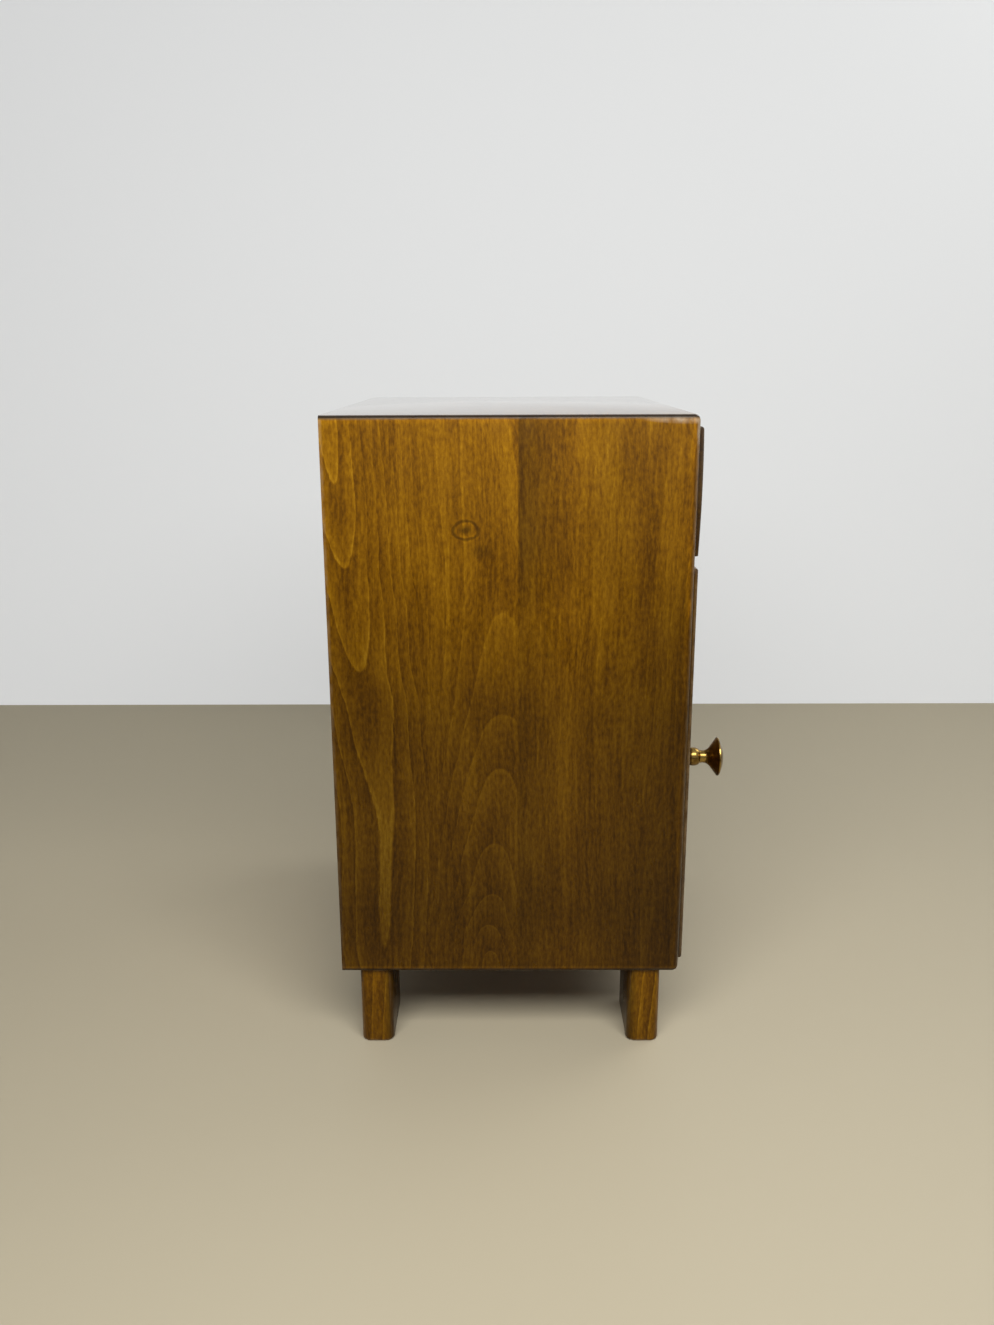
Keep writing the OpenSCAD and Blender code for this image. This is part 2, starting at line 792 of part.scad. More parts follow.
// Half outline of the turned knob, [radius, distance from the door's face]
module knob_profile() {
  foot_r = (knob_neck_r + knob_bead_r) / 2;
  rim_z = knob_l - knob_dome - knob_rim_h;
  dome_r = (knob_rim_r ^ 2 + knob_dome ^ 2) / (2 * knob_dome);
  dome_end = asin(knob_rim_r / dome_r);
  bead = [for (a = [-75:10:75]) [
    knob_neck_r + (knob_bead_r - knob_neck_r) * cos(a),
    knob_foot_l + knob_bead_l / 2 * (1 + sin(a))
  ]];
  flare = [for (a = [0:knob_flare_angle / 8:knob_flare_angle]) [
    knob_neck_r + knob_flare_r * (1 - cos(a)), knob_flare_z + knob_flare_r * sin(a)
  ]];
  dome = [for (a = [dome_end:-dome_end / 10:dome_end / 20]) [
    dome_r * sin(a), knob_l - dome_r * (1 - cos(a))
  ]];
  polygon(concat([[0, 0], [foot_r, 0], [foot_r, knob_foot_l]], bead, flare,
    [[knob_rim_r - knob_rim_chamfer, rim_z - knob_rim_chamfer], [knob_rim_r, rim_z]], dome, [[0, knob_l]]));
}

module door_knob() {
  color(brass) translate([knob_x, out(door_face), knob_z]) rotate([90, 0, 0]) difference() {
    rotate_extrude($fn = 96) knob_profile();
    translate([0, 0, -over])
      cylinder(h = over + knob_screw_in + bore_spare, r = knob_screw_r + pin_ease);
  }
}

// Machine screw with a slotted head, from inside the door into the knob
module knob_screw() {
  head_r = 2 * knob_screw_r;
  slot_w = knob_screw_r / 2;
  slot_d = knob_screw_head / 2;
  color(steel) translate([knob_x, back(entry_back), knob_z]) rotate([90, 0, 0]) difference() {
    union() {
      cylinder(h = entry_back + door_face + knob_screw_in, r = knob_screw_r);
      translate([0, 0, -knob_screw_head]) cylinder(h = knob_screw_head, r1 = head_r * 0.8, r2 = head_r);
    }
    translate([-head_r - over, -slot_w / 2, -knob_screw_head - over])
      cube([2 * (head_r + over), slot_w, over + slot_d]);
  }
}

// One knuckle ring of a hinge between two heights, counted up from the hinge's lower end
module knuckle(low, high) {
  translate([axis_x, out(axis_out), low]) cylinder(h = high - low, r = knuckle_r);
}

// The bore for the pin
module pin_bore() {
  translate([axis_x, out(axis_out), -over])
    cylinder(h = hinge_h + 2 * over, r = hinge_pin_r + pin_ease);
}

// Narrow leaf on the side panel's front edge, with the two outer knuckles
module frame_leaf(z) {
  color(brass) difference() {
    translate([0, 0, z - hinge_h / 2]) difference() {
      union() {
        block([leaf_in_x, back(0), 0], [lip_x, back(leaf_t), hinge_h]);
        for (low = [0, 2 * knuckle_l]) {
          block([lip_x, back(0), low], [axis_x, back(leaf_t), low + knuckle_l]);
          knuckle(low, low + knuckle_l);
        }
      }
      pin_bore();
    }
    at_frame_screws([z]) screw_hole(small_screw_r, small_head_r, small_screw_l);
  }
}

// Cranked leaf that wraps the door's stepped edge, with the middle knuckle
module door_leaf(z) {
  low = knuckle_l + knuckle_gap;
  high = 2 * knuckle_l - knuckle_gap;
  color(brass) difference() {
    translate([0, 0, z - hinge_h / 2]) difference() {
      union() {
        linear_extrude(hinge_h) door_leaf_outline(0);
        block([lip_x - over, out(front_gap + leaf_t), low], [axis_x, out(front_gap), high]);
        knuckle(low, high);
      }
      pin_bore();
    }
    at_door_screws([z]) screw_hole(small_screw_r, small_head_r, small_screw_l);
  }
}

// Hinge pin with a low tapered head on each end
module hinge_pin(z) {
  head_r = (knuckle_r + hinge_pin_r) / 2;
  color(brass) translate([axis_x, out(axis_out), z - hinge_h / 2]) {
    cylinder(h = hinge_h, r = hinge_pin_r);
    translate([0, 0, hinge_h]) cylinder(h = pin_head, r1 = head_r, r2 = hinge_pin_r);
    translate([0, 0, -pin_head]) cylinder(h = pin_head, r1 = hinge_pin_r, r2 = head_r);
  }
}

module hinge_top_frame_leaf() {
  frame_leaf(hinge_zs[1]);
}

module hinge_top_door_leaf() {
  door_leaf(hinge_zs[1]);
}

module hinge_top_pin() {
  hinge_pin(hinge_zs[1]);
}

module hinge_bottom_frame_leaf() {
  frame_leaf(hinge_zs[0]);
}

module hinge_bottom_door_leaf() {
  door_leaf(hinge_zs[0]);
}

module hinge_bottom_pin() {
  hinge_pin(hinge_zs[0]);
}

module hinge_frame_screws() {
  color(steel) at_frame_screws(hinge_zs) wood_screw(small_screw_r, small_head_r, small_screw_l);
}

module hinge_door_screws() {
  color(steel) at_door_screws(hinge_zs) wood_screw(small_screw_r, small_head_r, small_screw_l);
}

// Places the catch's two screws, pointing up into the divider
module at_catch_screws() {
  x = (catch_l + lug_l) / 2;
  for (side = [-1, 1])
    translate([catch_x + side * x, back(catch_front + pole_t + catch_d / 2), divider_low - lug_t]) children();
}

// A box of the catch: half its length, two depths behind the catch's front, two heights
module catch_block(x, depths, zs) {
  block([catch_x - x, back(catch_front + depths[0]), zs[0]],
        [catch_x + x, back(catch_front + depths[1]), zs[1]]);
}

module catch_case() {
  low = divider_low - catch_h;
  rear = pole_t + catch_d;
  color("#d8d2c4") difference() {
    union() {
      catch_block(catch_l / 2, [pole_t, rear], [low, divider_low]);
      catch_block(catch_l / 2 + lug_l, [pole_t + lug_in, rear - lug_in], [divider_low - lug_t, divider_low]);
    }
    catch_block(catch_l / 2 - case_wall, [0, rear - case_wall], [low + case_wall, divider_low - case_wall]);
    at_catch_screws() screw_hole(small_screw_r, small_head_r, small_screw_l);
  }
}

// Magnet between the two pole plates, set back behind their edges
module catch_magnet() {
  inset = case_wall + pole_t + ease;
  color("#3a3a3a") catch_block(catch_l / 2 - case_wall - ease, [2 * pole_t, pole_t + catch_d - case_wall],
    [divider_low - catch_h + inset, divider_low - inset]);
}

module catch_plates() {
  inset = case_wall + ease;
  depths = [0, pole_t + catch_d - case_wall];
  for (z = [divider_low - catch_h + inset, divider_low - inset - pole_t])
    color(steel) catch_block(catch_l / 2 - case_wall - ease, depths, [z, z + pole_t]);
}

module catch_screws() {
  color(steel) at_catch_screws() wood_screw(small_screw_r, small_head_r, small_screw_l);
}

// Place of the strike plate's screw, pointing forward into the door
module at_strike_screw() {
  translate([catch_x, back(entry_back + strike_t), (strike_low + strike_top) / 2])
    rotate([90, 0, 0]) children();
}

module strike_plate() {
  color(steel) difference() {
    block([catch_x - catch_l / 2, back(entry_back), strike_low],
          [catch_x + catch_l / 2, back(entry_back + strike_t), strike_top]);
    at_strike_screw() screw_hole(small_screw_r, small_head_r, small_screw_l);
  }
}

module strike_screw() {
  color(steel) at_strike_screw() wood_screw(small_screw_r, small_head_r, small_screw_l);
}

side_left();
side_right();
top_panel();
bottom_panel();
corner_tongues();
divider();
back_panel();
back_screws();
shelf();
shelf_pegs();
runner_left();
runner_right();
runner_screws();
leg_front_left();
leg_front_right();
leg_rear_left();
leg_rear_right();
leg_dowels();
drawer_front();
drawer_side_left();
drawer_side_right();
drawer_back();
drawer_bottom();
drawer_bottom_screws();
door_panel();
door_knob();
knob_screw();
hinge_top_frame_leaf();
hinge_top_door_leaf();
hinge_top_pin();
hinge_bottom_frame_leaf();
hinge_bottom_door_leaf();
hinge_bottom_pin();
hinge_frame_screws();
hinge_door_screws();
catch_case();
catch_magnet();
catch_plates();
catch_screws();
strike_plate();
strike_screw();
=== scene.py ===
"""A bedside cabinet in stained beech: one drawer over a cupboard, on four block feet.

Everything is in metres in the cabinet's own frame: +X runs to the right seen from the front, the front
looks along -Y, and the floor is at z = 0.
"""
import math

import bpy
from mathutils import Matrix, Vector


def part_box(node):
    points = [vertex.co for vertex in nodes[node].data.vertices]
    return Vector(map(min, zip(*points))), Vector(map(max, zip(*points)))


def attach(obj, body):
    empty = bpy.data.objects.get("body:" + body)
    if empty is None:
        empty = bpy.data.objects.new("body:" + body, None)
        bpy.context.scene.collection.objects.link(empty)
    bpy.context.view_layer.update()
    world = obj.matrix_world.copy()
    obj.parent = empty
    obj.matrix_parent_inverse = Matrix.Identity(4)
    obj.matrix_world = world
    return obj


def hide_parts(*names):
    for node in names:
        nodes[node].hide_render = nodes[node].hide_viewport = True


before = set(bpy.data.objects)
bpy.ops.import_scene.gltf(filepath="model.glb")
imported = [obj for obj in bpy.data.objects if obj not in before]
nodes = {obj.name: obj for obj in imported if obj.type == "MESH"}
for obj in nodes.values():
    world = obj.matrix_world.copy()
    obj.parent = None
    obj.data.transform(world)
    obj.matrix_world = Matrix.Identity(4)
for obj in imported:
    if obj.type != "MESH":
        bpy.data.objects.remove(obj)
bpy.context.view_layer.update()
bpy.ops.object.select_all(action="DESELECT")

# Carcass boards: two sides, a top and a bottom of solid beech, each glued up from narrower boards.
# Their ends are mitred, so the box shows long grain only, and its outer edges are rounded after gluing.
# The stain is brown and lets the figure show. A satin lacquer lies over it, worn pale along the arrises.
MM = 0.001
HAIR = 0.01 * MM  # places nearer to each other than this are one place
BOARD = 18 * MM
FRONT_ROUND = 5 * MM
TOP_ROUND = 0.7  # of the front round, along the two long top edges
BOTTOM_ROUND = 0.5  # and along the two long bottom edges
CASE_EDGE = 0.12 * MM
HOUSING_START = 20 * MM  # from the divider's front edge back to the housings in the sides
KNUCKLE_ROUND = 3.1 * MM
KNUCKLE_GAP = 0.6 * MM  # of the knuckle's channel over the pin's length
SHARP = math.radians(35)  # an edge that turns further is broken
SMOOTH = math.radians(30)  # an edge that turns less is shaded round


def block(name, low, high):
    """A cube primitive brought to its place and size."""
    bpy.ops.object.select_all(action="DESELECT")
    bpy.ops.mesh.primitive_cube_add(size=1, location=(Vector(low) + Vector(high)) / 2)
    piece = bpy.context.object
    piece.name = name
    piece.scale = Vector(high) - Vector(low)
    bpy.ops.object.transform_apply()
    return piece


def take(piece):
    """Leaves edit mode and makes a piece the only one that the operators act on."""
    if bpy.context.mode != "OBJECT":
        bpy.ops.object.mode_set(mode="OBJECT")
    bpy.ops.object.select_all(action="DESELECT")
    piece.select_set(True)
    bpy.context.view_layer.objects.active = piece


def pick(piece, kind, test):
    """Opens a piece in edit mode and selects its faces or edges whose corners all pass the test."""
    take(piece)
    bpy.ops.object.mode_set(mode="EDIT")
    bpy.ops.mesh.select_mode(type=kind)
    bpy.ops.mesh.select_all(action="DESELECT")
    bpy.ops.object.mode_set(mode="OBJECT")
    mesh = piece.data
    for part in mesh.polygons if kind == "FACE" else mesh.edges:
        part.select = all(test(mesh.vertices[v].co) for v in part.vertices)
    bpy.ops.object.mode_set(mode="EDIT")


def close_to(a, b):
    return abs(a - b) < HAIR


def mark_round(piece, test, share=1.0):
    """Weights the edges that pass the test, so that round_edges takes them."""
    pick(piece, "EDGE", test)
    bpy.ops.transform.edge_bevelweight(value=share)


def round_edges(piece, width, segments, limit="WEIGHT"):
    """Rounds a piece's weighted edges, or all its sharp ones."""
    rounding = piece.modifiers.new("rounding", "BEVEL")
    rounding.width = width
    rounding.segments = segments
    rounding.limit_method = limit
    rounding.angle_limit = SHARP
    take(piece)
    bpy.ops.object.modifier_apply(modifier="rounding")


def saw(piece, through, facing, drop=True):
    """Saws a piece along a plane and drops what lies on the facing side, or only scores it."""
    take(piece)
    bpy.ops.object.mode_set(mode="EDIT")
    bpy.ops.mesh.select_all(action="SELECT")
    bpy.ops.mesh.bisect(plane_co=through, plane_no=facing, use_fill=drop, clear_outer=drop)
    bpy.ops.object.mode_set(mode="OBJECT")


def chop(piece, cutter):
    """Takes the cutter's shape out of a piece."""
    cutting = piece.modifiers.new("cut", "BOOLEAN")
    cutting.object = cutter
    cutting.operation = "DIFFERENCE"
    cutting.solver = "EXACT"
    take(piece)
    bpy.ops.object.modifier_apply(modifier="cut")
    bpy.data.objects.remove(cutter)


def copy_of(piece, name):
    """A second piece with a mesh of its own."""
    made = piece.copy()
    made.data = piece.data.copy()
    made.name = name
    bpy.context.scene.collection.objects.link(made)
    return made


def fit(piece, material, body, slot, *replaced, edge=0.3 * MM):
    """Breaks a piece's sharp edges, gives it its material and puts it in place of nodes of the frame."""
    if edge:
        round_edges(piece, edge, 2, "ANGLE")
    take(piece)
    bpy.ops.object.mode_set(mode="EDIT")
    bpy.ops.mesh.select_all(action="SELECT")
    bpy.ops.mesh.remove_doubles(threshold=HAIR)
    bpy.ops.mesh.dissolve_degenerate(threshold=HAIR)
    bpy.ops.mesh.normals_make_consistent(inside=False)
    bpy.ops.object.mode_set(mode="OBJECT")
    bpy.ops.object.shade_smooth_by_angle(angle=SMOOTH)
    piece.data.materials.clear()
    piece.data.materials.append(material)
    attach(piece, body)
    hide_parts(*replaced)


def dress(material, *names):
    """Gives kept pieces of the frame their material."""
    for name in names:
        nodes[name].data.materials.clear()
        nodes[name].data.materials.append(material)


def srgb(code):
    """Linear colour of a hex code."""
    values = [int(code[i:i + 2], 16) / 255 for i in (1, 3, 5)]
    return [v / 12.92 if v <= 0.04045 else ((v + 0.055) / 1.055) ** 2.4 for v in values] + [1.0]


def grey(value):
    return (value, value, value, 1.0)


def add(tree, kind, *values, links=None, stops=None, ease=None, **settings):
    """Adds a shader node and gives its outputs. values fill its first inputs in their order, links the ones
    named, each with a number or a source. stops are a ramp's colours, settings the node's properties."""
    made = tree.nodes.new("ShaderNode" + kind)
    for name, value in settings.items():
        setattr(made, name, value)
    for name, value in [*enumerate(values), *(links or {}).items()]:
        if isinstance(value, bpy.types.NodeSocket):
            tree.links.new(value, made.inputs[name])
        else:
            made.inputs[name].default_value = value
    if ease:
        made.color_ramp.interpolation = ease
    for i, (place, colour) in enumerate(sorted(stops or [])):
        stop = made.color_ramp.elements[i] if i < 2 else made.color_ramp.elements.new(place)
        stop.position = place
        stop.color = colour
    return made.outputs


UPRIGHT = (0, 0, 0)  # grain along Z on a board that faces along X
UPRIGHT_FRONT = (0, 0, math.pi / 2)  # grain along Z on a board that faces along Y
LEVEL = (0, -math.pi / 2, 0)  # grain along X on a board that faces up
LEVEL_FRONT = (-math.pi / 2, -math.pi / 2, 0)  # grain along X on a board that faces along Y
IN_MM = (1 / MM, 1 / MM, 1 / MM)
SHADE_CHANGE = (395.0, 455.0)  # mm up, between them low_shade passes into shade
STAIN = [(0.0, srgb("#301a00")), (0.3, srgb("#503101")), (0.5, srgb("#664202")), (0.75, srgb("#7c5506")),
         (1.0, srgb("#936c14"))]
RUBBED_ARRIS = srgb("#80694a")
BARE_WOOD = srgb("#887762")
CASE_GLOSS = 0.12  # the satin lacquer gives the boards little shine

# A year's ring starts dark, gets lighter and ends in a thin pale line.
RING_TONES = [(0.0, grey(0.70)), (0.035, grey(0.28)), (0.3, grey(0.40)), (0.65, grey(0.55)),
              (0.9, grey(0.68)), (0.96, grey(0.92))]
RING_SHIFT = 62.0  # mm that the rings are moved along their radius
DEPTH_UNIT = 100.0  # mm, a ramp holds the trunk's depth as a share of it
ASIDE_UNIT = 300.0  # mm, and the trunk's place across as a share of twice this

# Cells per mm through, across and along the board. Real flecks and fibres are finer than a pixel here, so
# they are drawn as coarse as they need to show.
WAVES = (0.006, 0.012, 0.005)  # slow waves 80 mm wide and 200 mm long
WOBBLE = (0.25, 0.5, 0.06)  # 2 mm wide and 17 mm long
FLECKS = (0.5, 0.42, 0.16)  # 2.4 mm wide and 6 mm long
STREAKS = (0.35, 0.3, 0.035)  # 3 mm wide and 30 mm long
FIBRES = (0.3, 0.3, 0.008)  # 3 mm wide and 125 mm long
BANDS = (0.06, 0.06, 0.003)  # 17 mm wide and 330 mm long
BLOTCHES = (0.02, 0.03, 0.012)  # 33 mm wide and 80 mm long
RAGGED = (0.12, 0.12, 0.12)  # 8 mm, on the rims of knots and smudges
SHEEN = (0.05, 0.05, 0.02)  # 20 mm wide and 50 mm long, in the lacquer's gloss
RUB = (60, 60, 60)  # cells per metre: the wear comes and goes every 17 mm

WAVE_BEND = 10.0  # mm from side to side that the slow waves bend the fibres
WOBBLE_BEND = 3.5  # mm that the wobble bends them
WAVE_LEAN = 24.0  # mm that the short marks lean across with the waves, at most
RING_LEAST = 0.30  # of their strength, kept by rings that are cut flat
RING_STEEP = 0.75  # and added, up to the whole, where they are cut steeply
WEAR_REACH = (3.0, 1.2)  # mm from an arris, over which the wear grows from none to full


def beech(name, turn, node, hearts, shade=None, low_shade=None, rise=None, marks=(), bare=(), gloss=0.3,
          seed=0.0, colours=STAIN, ring=8.0, wear=0.6):
    """Planed beech, its places in mm. turn brings the grain along Z and what runs across the board along Y.

    hearts: strips across the board, each with its start, how soft the start is, how strong the rings show,
        and the path of the trunk's middle under the face as (height, depth, place across). The rings
        round it cut the face in arches.
    shade: strength of the colour by the place across, with low_shade instead low on the board. It holds
        uneven stain, and on some boards painted shade or a painted highlight along an edge.
    rise: strength of the colour along the grain, which is the height on upright boards. It paints shade:
        darker towards the bottom, and dark on rounded arrises and end edges.
    marks: knots and smudges as (across, up, half width, half height, steps from the middle outwards).
    bare: spots rubbed through to pale wood as (across, up, half width, half height).
    gloss: roughness of the lacquer. ring: width of a year's ring. wear: how pale the arrises are rubbed.
    """
    material = bpy.data.materials.new(name)
    material.use_nodes = True
    tree = material.node_tree
    shader = tree.nodes["Principled BSDF"]
    place = add(tree, "TexCoord")["Object"]
    board = add(tree, "Mapping", links={"Vector": place, "Rotation": turn, "Scale": IN_MM})[0]
    parts = add(tree, "SeparateXYZ", board)
    across, along = parts["Y"], parts["Z"]

    def uneven(vector, cells, detail=2.0, roughness=0.5, offset=0.0):
        """Noise at a place of its own in each board."""
        moved = add(tree, "Mapping", links={"Vector": vector, "Scale": cells,
                                            "Location": (seed + offset, 0, 0)})[0]
        return add(tree, "TexNoise", links={"Vector": moved, "Scale": 1.0, "Detail": detail,
                                            "Roughness": roughness})

    def swing(value, amount):
        """Brings a value between 0 and 1 to one that swings about zero."""
        centred = add(tree, "Math", value, 0.5, operation="SUBTRACT")[0]
        return add(tree, "Math", centred, amount, operation="MULTIPLY")[0]

    def strength_of(value, row):
        """Reads a row of (place, strength) at a value. The ramp holds half of each strength."""
        low, high = row[0][0], row[-1][0]
        steps = [((at - low) / (high - low), grey(strength / 2)) for at, strength in row]
        share = add(tree, "MapRange", value, low, high)[0]
        return add(tree, "Math", add(tree, "ValToRGB", share, stops=steps)[0], 2.0, operation="MULTIPLY")[0]

    def reach_of(at, up, wide, high):
        """Distance from a place on the board, 1 on the oval round it."""
        near = add(tree, "Mapping", links={"Vector": board, "Scale": (0, 1 / wide, 1 / high),
                                           "Location": (0, -at / wide, -up / high)})[0]
        return add(tree, "VectorMath", near, operation="LENGTH")["Value"]

    # slow waves and a fine wobble bend the fibres
    sway = add(tree, "SeparateColor", uneven(board, WAVES)["Color"])
    wobble = uneven(board, WOBBLE, 3.0, 0.6, 7.0)["Fac"]
    bent = add(tree, "Math", across, swing(sway["Red"], WAVE_BEND), operation="ADD")[0]
    bent = add(tree, "Math", bent, swing(wobble, WOBBLE_BEND), operation="ADD")[0]

    # annual rings round each heart, weaker where they are cut flat
    rings = None
    for start, softness, strength, path in hearts:
        base, end = path[0][0], path[-1][0]
        height = add(tree, "MapRange", along, base, end)[0]
        stops = [((at - base) / (end - base),
                  (depth / DEPTH_UNIT, (middle + ASIDE_UNIT) / (2 * ASIDE_UNIT), 0, 1))
                 for at, depth, middle in path]
        trunk = add(tree, "ValToRGB", height, stops=stops, ease="CARDINAL")[0]
        trunk = add(tree, "SeparateColor", trunk)
        depth = add(tree, "Math", trunk["Red"], DEPTH_UNIT, operation="MULTIPLY")[0]
        middle = add(tree, "Math", trunk["Green"], 2 * ASIDE_UNIT, -ASIDE_UNIT, operation="MULTIPLY_ADD")[0]
        aside = add(tree, "Math", bent, middle, operation="SUBTRACT")[0]
        cut = add(tree, "CombineXYZ", depth, aside)[0]
        radius = add(tree, "VectorMath", cut, operation="LENGTH")["Value"]
        turns = add(tree, "Math", radius, RING_SHIFT, operation="ADD")[0]
        turns = add(tree, "Math", turns, ring, operation="DIVIDE")[0]
        turns = add(tree, "Math", turns, operation="FRACT")[0]
        tone = add(tree, "ValToRGB", turns, stops=RING_TONES)[0]
        steep = add(tree, "Math", depth, radius, operation="DIVIDE")[0]
        steep = add(tree, "Math", steep, RING_STEEP, RING_LEAST, operation="MULTIPLY_ADD", use_clamp=True)[0]
        tone = swing(tone, add(tree, "Math", steep, strength, operation="MULTIPLY")[0])
        if rings is None:
            rings = tone
        else:
            there = add(tree, "MapRange", across, start - softness, start + softness)[0]
            rings = add(tree, "Mix", links={"Factor": there, "A": rings, "B": tone})[0]

    # rays and pores: short flecks, streaks and long fibres that lean a little, broad bands, slow blotches
    lean = add(tree, "Math", sway["Green"], WAVE_LEAN, across, operation="MULTIPLY_ADD")[0]
    flow = add(tree, "CombineXYZ", parts["X"], lean, along)[0]
    flecks = uneven(flow, FLECKS, 2.0, 0.6, 13.0)["Fac"]
    streaks = uneven(flow, STREAKS, 2.0, 0.6, 17.0)["Fac"]
    fibres = uneven(flow, FIBRES, 3.0, 0.65, 23.0)["Fac"]
    bands = uneven(board, BANDS, 2.0, 0.5, 27.0)["Fac"]
    blotches = uneven(board, BLOTCHES, 2.0, 0.5, 31.0)["Fac"]
    tone = add(tree, "Math", rings, 0.75, 0.5, operation="MULTIPLY_ADD")[0]
    for part, amount in ((flecks, 0.75), (streaks, 0.4), (fibres, 0.4), (bands, 0.5), (blotches, 0.45)):
        tone = add(tree, "Math", tone, swing(part, amount), operation="ADD")[0]
    colour = add(tree, "ValToRGB", tone, stops=colours)[0]

    # strength across the board: uneven stain, and on some boards painted shade or a painted highlight along
    # an edge
    if shade:
        level = strength_of(across, shade)
        if low_shade:
            level = add(tree, "Mix", links={"Factor": add(tree, "MapRange", along, *SHADE_CHANGE)[0],
                                            "A": strength_of(across, low_shade), "B": level})[0]
        colour = add(tree, "VectorMath", colour, links={"Scale": level}, operation="SCALE")[0]

    # knots and smudges: rings of light and dark round a place
    for at, up, wide, high, steps in marks:
        ragged = uneven(board, RAGGED, 3.0, 0.6, at)["Fac"]
        reach = add(tree, "Math", reach_of(at, up, wide, high), swing(ragged, 0.5), operation="ADD")[0]
        colour = add(tree, "VectorMath", colour, links={"Scale": strength_of(reach, steps)},
                     operation="SCALE")[0]

    # wear: the arrises of the piece's box are rubbed pale, in broken stretches
    box_low, box_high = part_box(node)
    middle = [(a + b) / 2 / MM for a, b in zip(box_low, box_high)]
    half = [(b - a) / 2 / MM for a, b in zip(box_low, box_high)]
    centred = add(tree, "Mapping", links={"Vector": place, "Scale": IN_MM,
                                          "Location": [-v for v in middle]})[0]
    centred = add(tree, "VectorMath", centred, operation="ABSOLUTE")[0]
    depths = add(tree, "VectorMath", half, centred, operation="SUBTRACT")[0]
    depths = add(tree, "SeparateXYZ", depths)
    inner = add(tree, "Math", depths["X"], depths["Y"], operation="MAXIMUM")[0]
    outer = add(tree, "Math", depths["X"], depths["Y"], operation="MINIMUM")[0]
    inner = add(tree, "Math", inner, depths["Z"], operation="MINIMUM")[0]
    edge = add(tree, "Math", outer, inner, operation="MAXIMUM")[0]
    patchy = uneven(place, RUB, 4.0, 0.65, 3.0)["Fac"]
    rubbed = add(tree, "Math", add(tree, "MapRange", edge, *WEAR_REACH)[0],
                 add(tree, "MapRange", patchy, 0.35, 0.60)[0], operation="MULTIPLY", use_clamp=True)[0]
    rubbed = add(tree, "Math", rubbed, wear, operation="MULTIPLY")[0]
    colour = add(tree, "Mix", links={"Factor": rubbed, 6: colour, 7: RUBBED_ARRIS}, data_type="RGBA")[2]
    for spot in bare:
        through = add(tree, "Math", add(tree, "MapRange", reach_of(*spot), 1.0, 0.35)[0],
                      add(tree, "MapRange", patchy, 0.36, 0.62)[0], operation="MULTIPLY", use_clamp=True)[0]
        colour = add(tree, "Mix", links={"Factor": through, 6: colour, 7: BARE_WOOD}, data_type="RGBA")[2]
    # rise: strength along the grain, painted shade: darker towards the bottom of upright boards, dark on
    # rounded arrises and end edges
    if rise:
        colour = add(tree, "VectorMath", colour, links={"Scale": strength_of(along, rise)},
                     operation="SCALE")[0]
    tree.links.new(colour, shader.inputs["Base Color"])
    sheen = uneven(board, SHEEN, 3.0, 0.6, 41.0)["Fac"]
    rough = add(tree, "MapRange", sheen, 0.3, 0.7, gloss * 0.85, gloss * 1.2)[0]
    tree.links.new(rough, shader.inputs["Roughness"])
    pores = add(tree, "Math", flecks, fibres, operation="ADD")[0]
    grain = add(tree, "Bump", links={"Height": pores, "Strength": 0.12, "Distance": 0.1 * MM})[0]
    tree.links.new(grain, shader.inputs["Normal"])
    shader.inputs["Specular IOR Level"].default_value = CASE_GLOSS
    return material


outer_low, outer_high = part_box("side_left")[0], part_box("side_right")[1]
outer_low.z, outer_high.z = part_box("bottom_panel")[0].z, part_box("top_panel")[1].z
inner_x = outer_high.x - BOARD
inner_low, inner_high = outer_low.z + BOARD, outer_high.z - BOARD
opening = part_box("back_panel")

carcass = block("carcass", outer_low, outer_high)
mark_round(carcass, lambda p: close_to(p.y, outer_low.y))
for level, share in ((outer_high.z, TOP_ROUND), (outer_low.z, BOTTOM_ROUND)):
    for x in (outer_low.x, outer_high.x):
        mark_round(carcass, lambda p: close_to(p.z, level) and close_to(p.x, x), share)
round_edges(carcass, FRONT_ROUND, 8)

boards = {}
for name, sign in (("left_side_board", -1), ("right_side_board", 1)):
    board = boards[name] = copy_of(carcass, name)
    saw(board, (sign * inner_x, 0, 0), (-sign, 0, 0))
    saw(board, (sign * inner_x, 0, inner_low), (-sign, 0, -1))
    saw(board, (sign * inner_x, 0, inner_high), (-sign, 0, 1))
for name, level, sign in (("top_board", inner_high, 1), ("bottom_board", inner_low, -1)):
    board = boards[name] = copy_of(carcass, name)
    saw(board, (0, 0, level), (0, 0, -sign))
    saw(board, (-inner_x, 0, level), (-1, 0, -sign))
    saw(board, (inner_x, 0, level), (1, 0, -sign))
bpy.data.objects.remove(carcass)

# a rebate behind takes the plywood back, and the sides are housed for the divider
divider_low, divider_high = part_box("divider")
for name, board in boards.items():
    chop(board, block("rebate", opening[0], opening[1] + Vector((0, BOARD, 0))))
housing_y = divider_low.y + HOUSING_START
for name in ("left_side_board", "right_side_board"):
    chop(boards[name], block("housing", (divider_low.x, housing_y, divider_low.z), divider_high))

# the hinges' frame leaves lie in mortises in the right side's front edge, their knuckles in round channels
for part in ("top", "bottom"):
    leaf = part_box("hinge_%s_frame_leaf" % part)
    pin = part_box("hinge_%s_pin" % part)
    axis = (pin[0] + pin[1]) / 2
    mortise = block("mortise", (leaf[0].x, outer_low.y - BOARD, leaf[0].z), (axis.x, leaf[1].y, leaf[1].z))
    chop(boards["right_side_board"], mortise)
    channel = pin[1].z - pin[0].z + KNUCKLE_GAP
    bpy.ops.mesh.primitive_cylinder_add(vertices=32, radius=KNUCKLE_ROUND, depth=channel, location=axis)
    chop(boards["right_side_board"], bpy.context.object)

